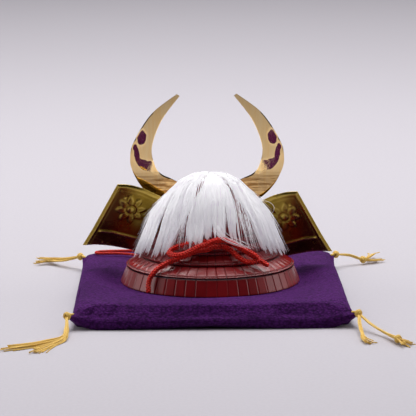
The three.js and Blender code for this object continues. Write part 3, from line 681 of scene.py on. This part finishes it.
def hornMesh(side):
    size = np.array((crest["spread"], crest["height"]))
    outer, inner = (
        evenPoints(uniformSpline(line, 14), crest["rows"]) * size for line in (hornOuter, hornInner))
    loops = []
    across = np.array((0, 0.02, 0.08, 0.25, 0.5, 0.75, 0.92, 0.98, 1.0))
    crown = np.array((-0.3, 0.0, 0.002, 0.006, 0.008, 0.006, 0.002, 0.0, -0.3))
    for k, (a, b) in enumerate(zip(outer, inner)):
        width = np.linalg.norm(b - a)
        share = k / (len(outer) - 1)
        face = a + (b - a) * across[:, None]
        lift = np.where(crown < 0, -crest["bevel"], crown * min(1, width / 8))
        middle = crest["depth"] + crest["warp"] * math.sin(2 * crest["waves"] * math.pi * share)
        front = np.stack((face[:, 0], middle - crest["wall"] / 2 - lift, face[:, 1]), 1)
        back = np.stack((face[:, 0], middle + crest["wall"] / 2 + lift * (lift < 0), face[:, 1]), 1)
        loops.append(np.vstack((front, back[::-1])))
    loops = np.array(loops)
    loops[:, :, 0] = crest["middle"] + side * loops[:, :, 0]
    loops[:, :, 2] += crest["foot"]
    return loops


for name, side in (("horn_left", -1), ("horn_right", 1)):
    plate = makePiece(name + "_plate", *loftLoops(hornMesh(side)), "polished_brass", [name])
    plate.data.set_sharp_from_angle(angle=math.radians(35))
print("horns made")


# Horn holder keeps its solid, in the same gold as the wings
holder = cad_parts["horn_holder"]
holder.data.materials.clear()
holder.data.materials.append(materials["gold_plate"])


# Wings: pressed sheet, worked out as a height over the wing's own plane
wing = {"width": 57.0, "height": 53.6, "wall": 1.0,  # outlines are shares of the width and height
        "border": 1.15, "borderRise": 0.55, "ridge": 0.8, "fold": 0.14, "relief": 0.7, "dish": 0.8,
        "grid": 84}
wingBottom = [(-0.09, 0.13), (0.14, 0.2), (0.35, 0.255), (0.52, 0.278), (0.665, 0.27)]
wingTop = [(-0.34, 0.86), (-0.15, 0.965), (-0.02, 1.042), (0.075, 1.08), (0.17, 1.106), (0.285, 1.115)]
wingRidge = [(-0.12, 0.325), (0.12, 0.4), (0.34, 0.474), (0.55, 0.503)]
wingFlower = {"at": (0.13, 0.78), "size": 0.17, "petals": 8}
wingSides = {"fukigaeshi_left": {"side": -1, "raise": 3.2, "spread": 1.3},
             "fukigaeshi_right": {"side": 1, "raise": -3.2, "spread": -1.3}}


def wingRelief(x, y):
    # Eight-petalled flower pressed from behind, with soft shoulders, a sunk eye and a vein down each petal
    cx, cy = wingFlower["at"][0] * wing["width"], wingFlower["at"][1] * wing["height"]
    reach = np.hypot(x - cx, y - cy) / (wingFlower["size"] * wing["height"])
    turn = np.arctan2(y - cy, x - cx) * wingFlower["petals"]
    edge = 0.9 + 0.16 * np.cos(turn)
    body = 1 / (1 + np.exp((reach - edge) / 0.05))
    waist = 0.3 * bump(1 + np.cos(turn), 0.35) * np.clip(reach * 1.6 - 0.3, 0, 1)
    eye = 0.8 * bump(reach, 0.2) - 0.5 * bump(reach - 0.32, 0.08)
    return body * (0.75 - waist + 0.25 * np.sin(np.clip(reach, 0, 1) * np.pi)) + eye * body


def wingMesh(row):
    count = wing["grid"]
    size = np.array((wing["width"], wing["height"]))
    shares = np.concatenate(([0, 0.004, 0.012], np.linspace(0.03, 0.97, count - 6), [0.988, 0.996, 1.0]))
    low, high = (
        np.stack([np.interp(shares, np.linspace(0, 1, 200), values) for values in
                  (evenPoints(uniformSpline(line, 12), 200) * size).T], 1) for line in (wingBottom, wingTop))
    flat = low[None] + (high - low)[None] * shares[:, None, None]
    flat[:, :, 0] -= (np.sin(np.pi * shares) * 0.02 * wing["width"])[:, None] * (1 - shares)[None]
    gridU, gridV = np.meshgrid(shares, shares)
    x, y = flat[:, :, 0], flat[:, :, 1]
    edge = np.minimum((1 - gridU) * 40, (1 - gridV) * 44)
    border = np.clip((wing["border"] * 1.3 - edge) / (wing["border"] * 0.4), 0, 1)
    border = eased(border)
    frameLine = bump(edge - wing["border"] - 2.0, 0.5)
    line = np.array(wingRidge) * size
    above = y - np.interp(x, line[:, 0], line[:, 1])
    inside = np.clip((edge - 4.0) / 1.2, 0, 1)
    ridge = bump(above, 0.85) * inside
    fold = np.clip(-above, 0, None) * wing["fold"]
    dish = wing["dish"] * np.sin(np.pi * gridV) * np.sin(np.pi * gridU)
    rivets = 0
    for a, b in ((0.44, 0.32), (0.2, 0.93)):
        far = np.hypot(x - a * size[0], y - b * size[1])
        rivets = rivets + 0.5 * np.clip(1.2 - far / 0.9, 0, 1)
    height = (wing["borderRise"] * border + 0.18 * frameLine - wing["ridge"] * ridge + fold - dish
              - wing["relief"] * wingRelief(x, y) * np.clip(above / 3, 0, 1) - rivets)
    side = row["side"]
    sweep, foot = wingPlane["sweep"], wingPlane["foot"]
    outward = np.array((side, -sweep, 0)) / math.hypot(1, sweep)
    normal = np.array((side * sweep, 1, wingPlane["lean"]))
    normal /= np.linalg.norm(normal)
    upward = np.cross(outward, normal)
    upward *= math.copysign(1, upward[2])
    start = np.array((side * foot[0], *foot[1:])) + outward * row["spread"] + upward * row["raise"]
    place = start + flat[:, :, :1] * outward + flat[:, :, 1:] * upward
    # The sheet thins to its rounded rim; the form stands out behind, as the die left it
    rounding = np.clip(np.minimum.reduce([gridU, 1 - gridU, gridV, 1 - gridV]) / 0.012, 0.35, 1)
    middle = wing["wall"] / 2 + 0.6 + height
    front = place + normal * (middle + wing["wall"] * 0.5 * rounding)[:, :, None]
    back = place + normal * (middle - wing["wall"] * 0.5 * rounding)[:, :, None]
    return sheetBetween(front, back)


for name, row in wingSides.items():
    makePiece(name + "_sheet", *wingMesh(row), "gold_plate", [name])
print("wings made")


# Hair: locks that leave the crown, run down over the bowl and end ragged on the neck guard
plume = {"top": 81.0, "rim": 11.4, "reach": 48.5, "locks": 210, "perLock": 34, "strandWidth": 0.36,
         "segments": 7, "depth": 2.6, "loose": 110, "strays": 90, "swept": 10,
         "drape": 4.3, "drapeMiddle": 3, "drapeHalf": 21,  # over the bow: how far out, and degrees round
         "curl": [(30.5, -6, 62.5), (34.5, -5, 63.0), (38.5, -4.5, 61.6), (40.8, -4, 58.8), (40.2, -4, 55.6),
                  (38.6, -4, 54.2)]}
plumeRows = {
    "share": [0, 0.12, 0.25, 0.5, 0.67, 0.84, 1.0, 1.2],
    "sideReach": [0.01, 0.227, 0.402, 0.639, 0.796, 0.893, 1.0, 1.08],
    "sideRise": [1, 0.983, 0.921, 0.741, 0.606, 0.438, 0.274, 0.11],
    "backReach": [0.01, 0.227, 0.39, 0.588, 0.68, 0.732, 0.773, 0.81],
    "backRise": [1, 0.983, 0.914, 0.784, 0.655, 0.55, 0.454, 0.33],
    "spread": [165, 160, 150, 122, 114, 112, 112, 112]}
hem = {  # height of the tips round the helmet; 0 degrees is the back
    "angle": [-112, -84, -67, -57, -49, -41, -30, -24, -16, -9, -5, 0,
              6, 11, 18, 25, 32, 37, 44, 52, 62, 83, 112],
    "height": [31, 30.1, 32, 34, 34.6, 36.4, 38.4, 39.4, 41, 41.6, 43.4, 45.0,
               45.4, 45.6, 44.6, 42.3, 40.2, 38.2, 37, 36.3, 34, 30, 31]}
partings = [  # where the hair divides: degrees round, and half the gap's width, down the plume
    {"share": [0.15, 0.4, 0.7, 0.9, 1.1], "angle": [-10, -20, -28, -31, -33], "half": [0, 0.2, 2, 5, 8]},
    {"share": [0.15, 0.3, 0.55, 0.8, 1.1], "angle": [30, 36, 37, 38, 39], "half": [0, 2, 6.5, 9.5, 11]}]


def plumeForm(across, share):
    # A point on the plume's outer form; across runs from -1 to 1 round it, share from crown to hem
    read = lambda key: np.interp(share, plumeRows["share"], plumeRows[key])
    angle = np.radians(read("spread")) * across
    side = np.where(np.abs(angle) > np.pi / 2, 1, np.sin(angle) ** 2)
    reach = plume["reach"] * (read("backReach") * (1 - side) + read("sideReach") * side)
    rise = read("backRise") * (1 - side) + read("sideRise") * side
    return angle, reach, plume["rim"] + (plume["top"] - plume["rim"]) * rise


def hemShare(across, sink):
    # How far down the form a strand ends; the under layers stop short of the bow
    shares = np.linspace(0.5, 1.2, 30)
    angle, reach, height = plumeForm(np.full(30, across), shares)
    end = np.degrees(angle[-1])
    target = np.interp(end, hem["angle"], hem["height"]) + sink * (1.1 if abs(end) < 30 else 0.3)
    return float(np.interp(-target, -height, shares))


def strandLine(across, shares, sink, lift):
    angle, reach, height = plumeForm(across, shares)
    # Over the bow the tips ride out on the cords
    drape = plume["drape"] * bump(np.degrees(angle) - plume["drapeMiddle"], plume["drapeHalf"])
    drape = drape * np.clip((shares - 0.8) / 0.2, 0, 1.2) ** 1.5
    down = np.clip(shares * 3, 0.1, 1)
    reach = np.maximum(reach - sink * down + lift + drape * (1 - sink / 4), 1.0)
    return around(angle, reach, height - sink * 0.3 * (1 - down))


def parted(across, shares, middle):
    # Pushes a strand out of the partings, to the side its lock is on
    spread = np.interp(shares, plumeRows["share"], plumeRows["spread"])
    angle = across * spread
    for row in partings:
        line = np.interp(shares, row["share"], row["angle"])
        half = np.interp(shares, row["share"], row["half"])
        side = 1 if middle > np.mean(row["angle"]) else -1
        away = np.maximum((angle - line) * side, 0)
        angle = line + side * np.sqrt(away ** 2 + half ** 2)
    return angle / spread


def makeHair():
    draw = random.Random(11)
    spread = plumeRows["spread"][-1]
    groups = {"left": [], "middle": [], "right": []}
    steps = np.linspace(0, 1, plume["segments"] + 1)
    taper = np.clip((1 - steps) * 4, 0.3, 1)

    def add(where, line, width=1.0):
        name = "left" if where < -30 else "right" if where > 35 else "middle"
        groups[name].append(tubeMesh(line, plume["strandWidth"] / 2 * width * taper, 3))

    for lock in range(plume["locks"]):
        middle = draw.uniform(-spread, spread)
        centre = middle / spread
        half = draw.uniform(0.012, 0.032)
        sink = plume["depth"] * draw.random()
        bend, shift, longer = draw.gauss(0, 0.012), draw.gauss(0, 0.02), draw.uniform(-0.05, 0.05)
        for k in range(plume["perLock"]):
            aside = max(-1.6, min(1.6, draw.gauss(0, 0.6)))
            start = draw.uniform(0.0, 0.08)
            tip = hemShare(max(-1, min(1, centre)), sink) + longer + draw.gauss(0, 0.012)
            tip -= 0.02 * aside * aside
            shares = start + (tip - start) * steps
            width = 1.5 - 0.5 * steps - 0.65 * steps ** 3
            across = centre + aside * half * width + bend * np.sin(np.pi * steps) + shift * (1 - steps)
            across = across + 0.0015 * np.sin(steps * draw.uniform(4, 9) + draw.uniform(0, 6))
            across = parted(across, shares, middle)
            low = sink + 0.45 * aside * aside + draw.gauss(0, 0.12)
            add(middle, strandLine(across, shares, max(0, low), 0))
    # Loose strands cross over the partings and the locks
    for k in range(plume["loose"]):
        near = draw.choice([-30, -18, 38, 38, draw.uniform(-100, 100)])
        middle = draw.gauss(near, 5)
        centre = middle / spread
        tip = hemShare(max(-1, min(1, centre)), 0) + draw.gauss(0, 0.02)
        shares = draw.uniform(0.05, 0.3) * (1 - steps) + tip * steps
        drift = draw.gauss(0, 0.03)
        wander = 0.008 * np.sin(steps * draw.uniform(5, 12) + draw.uniform(0, 6))
        across = centre + drift * (steps - 0.5) + wander
        add(middle, strandLine(across, shares, draw.uniform(0, 1.6), 0.1), 0.75)
    for k in range(plume["strays"]):
        middle = draw.choice([draw.gauss(-82, 9), draw.gauss(80, 10), draw.uniform(-110, 110)])
        shares = 0.12 + (draw.uniform(0.5, 1.03) - 0.12) * steps
        away = draw.uniform(0.5, 3.6)
        across = middle / spread + draw.gauss(0, 0.03) * steps ** 2
        add(middle, strandLine(np.clip(across, -1, 1), shares, 0, away * steps ** 3), 0.7)
    # A few strands swept to the right lie over the bow's right cord
    for k in range(plume["swept"]):
        side, far = draw.gauss(0, 1.6), draw.gauss(0, 2.0)
        route = [(3 + side, -36.5, 52 + side), (8 + side, -41.0 - abs(side) * 0.2, 46.6 + 0.4 * side),
                 (15.5 + side, -42.2, 43.2 + 0.5 * side), (24 + side + far, -42.6, 38.9 + 0.4 * far)]
        add(0, evenPoints(smoothRoute(route, 3), plume["segments"] + 1), 0.7)
    add(60, evenPoints(smoothRoute(plume["curl"], 3), plume["segments"] + 1), 0.7)
    return groups


for where, parts in makeHair().items():
    makePiece("hair_" + where, *joined(parts), "white_hair", ["hair_plume"])
    print("hair", where, len(parts), "strands")


# Cushion: crepe over wadding, blown up by a short cloth simulation and pressed by the helmet
cushion = {
    "width": 170.0, "depth": 181.0, "seam": 9.0, "crown": 14.6,
    "steep": 70.0,             # how sharply the top rises from its edge
    "seat": 11.1, "seatReach": 58.8, "dish": 16.0,
    "voxel": 4.0, "shrink": 2.2, "pressure": 4.0, "frames": 18, "cap": 5.0,
    "sidePull": 2.2,           # how far the middle of each side draws in
    "tipPull": (1.2, 2.6),     # how far the corners are drawn out, at the back and at the front
    "lowBulge": 4.0, "pinch": 18.0, "pulls": 0.55, "unevenness": 0.25}


def cushionHeight(x, y):
    # Height of the stuffed top over the floor, dished round the helmet
    u, v = np.abs(x) / (cushion["width"] / 2), np.abs(y) / (cushion["depth"] / 2)
    edge = np.clip(1 - np.maximum(u, v), 0, 1)
    dome = cushion["crown"] * (1 - np.exp(-edge * cushion["steep"])) + 0.4 * np.clip(u * v - 0.3, 0, 1)
    reach = np.hypot(x, y / planRatio)
    dish = eased(np.clip((reach - cushion["seatReach"]) / cushion["dish"], 0, 1))
    return np.minimum(dome, cushion["seat"] + (dome - cushion["seat"]) * dish)


def cushionBase():
    n = 40
    line = np.sin(np.linspace(-1, 1, n) * np.pi / 2)
    gx, gy = np.meshgrid(line, line)
    pull = cushion["sidePull"]
    x = gx * (cushion["width"] / 2 - cushion["shrink"] - pull * (1 - gy ** 4))
    y = gy * (cushion["depth"] / 2 - cushion["shrink"] - pull * (1 - gx ** 4))
    edge = np.maximum(np.abs(gx), np.abs(gy))
    rounded = np.sqrt(np.clip(1 - ((edge - 0.94) / 0.06).clip(0) ** 2, 0, 1))
    top = cushion["seam"] - 1 + (cushionHeight(x, y) - cushion["seam"]) * rounded
    low = 1.0 + (cushion["seam"] - 2.0) * (1 - rounded)
    return sheetBetween(np.stack((x, y, top), -1), np.stack((x, y, low), -1))


def meshPoints(piece):
    flat = np.empty(len(piece.data.vertices) * 3)
    piece.data.vertices.foreach_get("co", flat)
    return flat.reshape(-1, 3)


def setMeshPoints(piece, points):
    piece.data.vertices.foreach_set("co", np.asarray(points, float).ravel())
    piece.data.update()


def applyModifiers(piece):
    evaluated = piece.evaluated_get(bpy.context.evaluated_depsgraph_get())
    made = bpy.data.meshes.new_from_object(evaluated)
    piece.modifiers.clear()
    old = piece.data
    piece.data = made
    bpy.data.meshes.remove(old)


def makeCushion():
    piece = makePiece("cushion_cover", *cushionBase(), "purple_crepe", ["cushion"])
    remesh = piece.modifiers.new("remesh", "REMESH")
    remesh.mode = "VOXEL"
    remesh.voxel_size = cushion["voxel"] * mm
    applyModifiers(piece)
    before = meshPoints(piece)
    cloth = piece.modifiers.new("cloth", "CLOTH")
    for key, value in (("use_pressure", True), ("uniform_pressure_force", cushion["pressure"]),
                       ("quality", 6), ("mass", 0.15), ("tension_stiffness", 20),
                       ("bending_stiffness", 0.4)):
        setattr(cloth.settings, key, value)
    cloth.settings.effector_weights.gravity = 0
    cloth.point_cache.frame_start = 1
    cloth.point_cache.frame_end = cushion["frames"]
    for step in range(1, cushion["frames"] + 1):
        bpy.context.scene.frame_set(step)
    applyModifiers(piece)
    bpy.context.scene.frame_set(1)
    move = meshPoints(piece) - before
    size = np.linalg.norm(move, axis=1, keepdims=True)
    setMeshPoints(piece, before + move * np.minimum(1, cushion["cap"] * mm / np.maximum(size, 1e-9)))
    fine = piece.modifiers.new("fine", "SUBSURF")
    fine.levels = fine.render_levels = 1
    applyModifiers(piece)
    points = meshPoints(piece) / mm
    flat = points[:, :2]
    x, y, z = points.T  # these change the points in place
    half = np.array((cushion["width"], cushion["depth"])) / 2
    seam = cushion["seam"]
    # The seam's outline is drawn out to the tassels again, as the stuffing does
    square = flat / half
    reach = np.hypot(square[:, 0], square[:, 1])
    angle = np.degrees(np.arctan2(square[:, 1], square[:, 0])) % 360
    bins = (angle / 3).astype(int)
    farthest = np.array([reach[bins == b].max() for b in range(120)])
    farthest = np.minimum(farthest, (np.roll(farthest, 1) + np.roll(farthest, -1) + farthest) / 3 + 0.01)
    turn = np.radians((np.arange(120) + 0.5) * 3)
    longer = 1 / np.maximum(np.abs(np.cos(turn)), np.abs(np.sin(turn)))
    other = np.minimum(np.abs(np.cos(turn)), np.abs(np.sin(turn))) * longer
    wanted = longer * (1 - cushion["sidePull"] / half.mean() * (1 - other ** 4))
    stops = np.arange(-1, 121)
    grow, limit = (np.interp(angle, (stops + 0.5) * 3, np.take(values, stops, mode="wrap"))
                   for values in (wanted / farthest, farthest))
    flat *= (1 + (grow - 1) * np.clip(reach / limit, 0, 1) ** 4)[:, None]
    # Full below the seam, down to the floor
    inset = np.max(np.abs(flat) / half, axis=1)
    fuller = np.where(inset > 0.6, 0.6 + 0.4 * (1 - np.clip((1 - inset) / 0.4, 0, 1) ** 2.2), inset)
    below = np.clip((seam - z) / 3, 0, 1) * (inset > 0.3)
    flat *= (1 + (fuller / np.maximum(inset, 0.3) - 1) * below)[:, None]
    side = np.clip(1 - (np.abs(x) / half[0]) ** 6, 0, 1)
    y += np.sign(y) * cushion["lowBulge"] * below * side * np.clip((inset - 0.6) / 0.4, 0, 1)
    # Pinched to a point at each corner, with small pulls running in from it
    corner = np.abs(flat) - half
    toTip = np.hypot(corner[:, 0], corner[:, 1])
    tip = bump(toTip, 8) * np.where(y > 0, *cushion["tipPull"])
    flat += np.sign(flat) * (tip * math.sqrt(0.5))[:, None]
    pinch = np.clip(toTip / cushion["pinch"], 0.05, 1) ** 0.7
    z[:] = seam + (z - seam) * pinch
    fan = np.arctan2(corner[:, 1], corner[:, 0])
    pulls = np.sin(fan * 13 + np.sign(x) * 1.3 + np.sign(y)) * bump(toTip - 12, 9)
    z += cushion["pulls"] * pulls * (z > seam)
    # Pressed by the rim, and flat on the floor
    upper = z > seam
    top = cushionHeight(x, y) + cushion["unevenness"] * np.sin(x / 9) * np.sin(y / 11 + 1)
    away = np.hypot(x, y / planRatio)
    top = np.where(away < cushion["seatReach"] + 2, cushion["seat"], top)
    near = np.clip((125 - away) / 12, 0, 1)
    z[:] = np.where(upper & (z > top), z * (1 - near) + top * near, z)
    z += np.where(upper, 0.9 * np.clip((top - seam) * pinch + seam - z, 0, 6), 0)
    inset = np.max(np.abs(flat) / half, axis=1)
    z[:] = np.where((z < 1.2) & (inset < 0.97), 0, np.maximum(z, 0))
    setMeshPoints(piece, points * mm)
    piece.data.polygons.foreach_set("use_smooth", [True] * len(piece.data.polygons))
    print("cushion made, corners", points.min(0).round(1), points.max(0).round(1))


makeCushion()


# Tassels: a wound knot at each corner and loose threads lying on the floor
tassel = {"threads": 13, "threadWidth": 0.62, "bundle": 1.35, "knot": 5.0, "sides": 6}
# Knots and strands are given outwards from the cushion's corner
tassels = {
    "tassel_back_left": {"side": -1, "end": 1, "knots": [], "strands": [
        [(14, 10.5, 4.6), (25, 20.5, 2.4), (35.4, 18, 1.2)],
        [(13, 13.5, 5.6), (24, 25.5, 3), (32.5, 36.5, 1.2)]]},
    "tassel_back_right": {"side": 1, "end": 1, "knots": [(21.5, 11, 3.4)], "strands": [
        [(12, 8.5, 7.2), (21.5, 11, 3.4), (28, 13.5, 2.6), (36.7, 21.8, 1.2)],
        [(13, 9, 6.4), (21.5, 11, 3.4), (29.5, 27.5, 3.4), (30.5, 37.5, 2)]]},
    "tassel_front_left": {"side": -1, "end": -1, "knots": [], "strands": [
        [(2, 16.5, 4.6), (3.5, 27.5, 2.2), (14, 37.5, 1.4), (46.0, 56.5, 1.2)],
        [(1, 17.5, 4), (3, 30.5, 1.8), (11, 43.5, 1.3), (20.5, 64.5, 1.2)]]},
    "tassel_front_right": {"side": 1, "end": -1, "knots": [(21.6, 44, 3)], "strands": [
        [(8, 13.5, 5.4), (15, 26.5, 3), (21.6, 44, 3), (31.4, 50.5, 1.2)],
        [(8, 13, 5.2), (15, 27, 3), (21.6, 44, 3), (26, 56.8, 1.2)],
        [(2, 21.5, 3.4), (3, 36.5, 1.7), (6.3, 46, 1.2)]]}}


def woundKnot(centre, along, width):
    turns = np.linspace(0, 3.2, 70) * 2 * np.pi
    along = along / np.linalg.norm(along)
    side = np.cross(along, (0, 0, 1.0))
    side /= np.linalg.norm(side)
    up = np.cross(side, along)
    reach = width * 0.3 * (1 - 0.25 * np.cos(np.linspace(0, 2 * np.pi, len(turns))))
    lift = np.linspace(-0.28, 0.28, len(turns)) * width
    ways = np.stack((np.cos(turns) * reach, np.sin(turns) * reach, lift), 1)
    return tubeMesh(centre + ways @ np.array((side, up, along)), np.full(len(turns), width * 0.16), 8)


def makeTassel(name, row):
    draw = random.Random(name)
    corner = np.array((row["side"] * cushion["width"] / 2, row["end"] * cushion["depth"] / 2, 0))
    turnOut = np.array((row["side"], row["end"], 1))
    step = (tassel["knot"] / 2 + 0.5) * math.sqrt(0.5)
    first = np.array((step, step, cushion["seam"]))
    knot = lambda spot, dip: woundKnot(
        corner + np.array(spot) * turnOut, np.array((row["side"], row["end"], dip)), tassel["knot"])
    parts = [knot(first, -0.3)]
    seam = cushion["seam"]
    tie = np.array([(-1.5, -1.5, seam), (step / 2, step / 2, seam + 0.5), first]) * turnOut + corner
    parts.append(tubeMesh(smoothRoute(tie, 5), np.full(11, 0.8), 8))
    parts += [knot(spot, -0.1) for spot in row["knots"]]
    radius = tassel["threadWidth"] / 2
    for strand in row["strands"]:
        route = smoothRoute(corner + np.vstack((first, strand)) * turnOut, 8)
        sides, ups = carriedFrames(route)
        count = len(route)
        share = np.linspace(0, 1, count)
        for k in range(tassel["threads"]):
            turn = draw.uniform(0, 2 * math.pi)
            reach = tassel["bundle"] * math.sqrt(draw.random()) * (0.35 + 0.75 * share)
            fray = draw.gauss(0, 1.0) * share ** 3 * 2.6
            wave = 0.35 * np.sin(share * draw.uniform(8, 16) + turn)
            twist = turn + share * 2.5
            line = (route + sides * (np.cos(twist) * reach + fray + wave)[:, None]
                    + ups * (np.sin(twist) * reach * 0.7)[:, None])
            line = line[:max(6, int(count * draw.uniform(0.9, 1.0)))]
            line[:, 2] = np.maximum(line[:, 2], radius + 0.05)
            parts.append(tubeMesh(line, np.full(len(line), radius), tassel["sides"]))
    return makePiece(name + "_threads", *joined(parts), "yellow_thread", [name])


for name, row in tassels.items():
    makeTassel(name, row)
print("tassels made")


# Floor and soft studio light; the world is dark low down on the camera's side, light overhead and behind
studio = {"floor": 9000.0, "worldLow": "#3A353E", "worldHigh": "#F2EFF5", "world": 0.32, "backShare": 0.6,
          "lights": [
              {"name": "overheadSoftbox", "at": (0, 330, 1500), "to": (0, 0, 0), "size": 1300, "watts": 23},
              {"name": "backdropSoftbox", "at": (0, 1800, 1700), "to": (0, 1800, 0), "size": 2200,
               "watts": 30},
              {"name": "leftSoftbox", "at": (-1300, 60, 620), "to": (0, 0, 40), "size": 900, "watts": 4.8},
              {"name": "rightSoftbox", "at": (1300, 60, 620), "to": (0, 0, 40), "size": 900, "watts": 4.0}]}


def makeStudio():
    half = studio["floor"] * mm / 2
    mesh = bpy.data.meshes.new("floor")
    corners = [(-half, -half, 0), (half, -half, 0), (half, half, 0), (-half, half, 0)]
    mesh.from_pydata(corners, [], [(0, 1, 2, 3)])
    floor = bpy.data.objects.new("floor", mesh)
    floor.data.materials.append(makeMaterial(paleBackdrop))
    bpy.context.scene.collection.objects.link(floor)
    for row in studio["lights"]:
        data = bpy.data.lights.new(row["name"], "AREA")
        data.size = row["size"] * mm
        data.energy = row["watts"]
        lamp = bpy.data.objects.new(row["name"], data)
        lamp.location = Vector(row["at"]) * mm
        lamp.rotation_euler = (Vector(row["to"]) * mm - lamp.location).to_track_quat("-Z", "Y").to_euler()
        bpy.context.scene.collection.objects.link(lamp)
    world = bpy.data.worlds.new("studioWorld")
    world.use_nodes = True
    tree = world.node_tree
    split = addNode(tree, "SeparateXYZ", {"Vector": addNode(tree, "TexCoord").outputs["Generated"]})
    height = addNode(tree, "Math", {0: split.outputs["Y"], 1: studio["backShare"], 2: split.outputs["Z"]},
                     {"operation": "MULTIPLY_ADD"})
    tone = addNode(tree, "ValToRGB", {"Fac": height},
                   stops=[(0.05, studio["worldLow"]), (0.42, studio["worldHigh"])])
    setInputs(tree, tree.nodes["Background"], {"Color": tone, "Strength": studio["world"]})
    bpy.context.scene.world = world


makeStudio()
print("studio made")
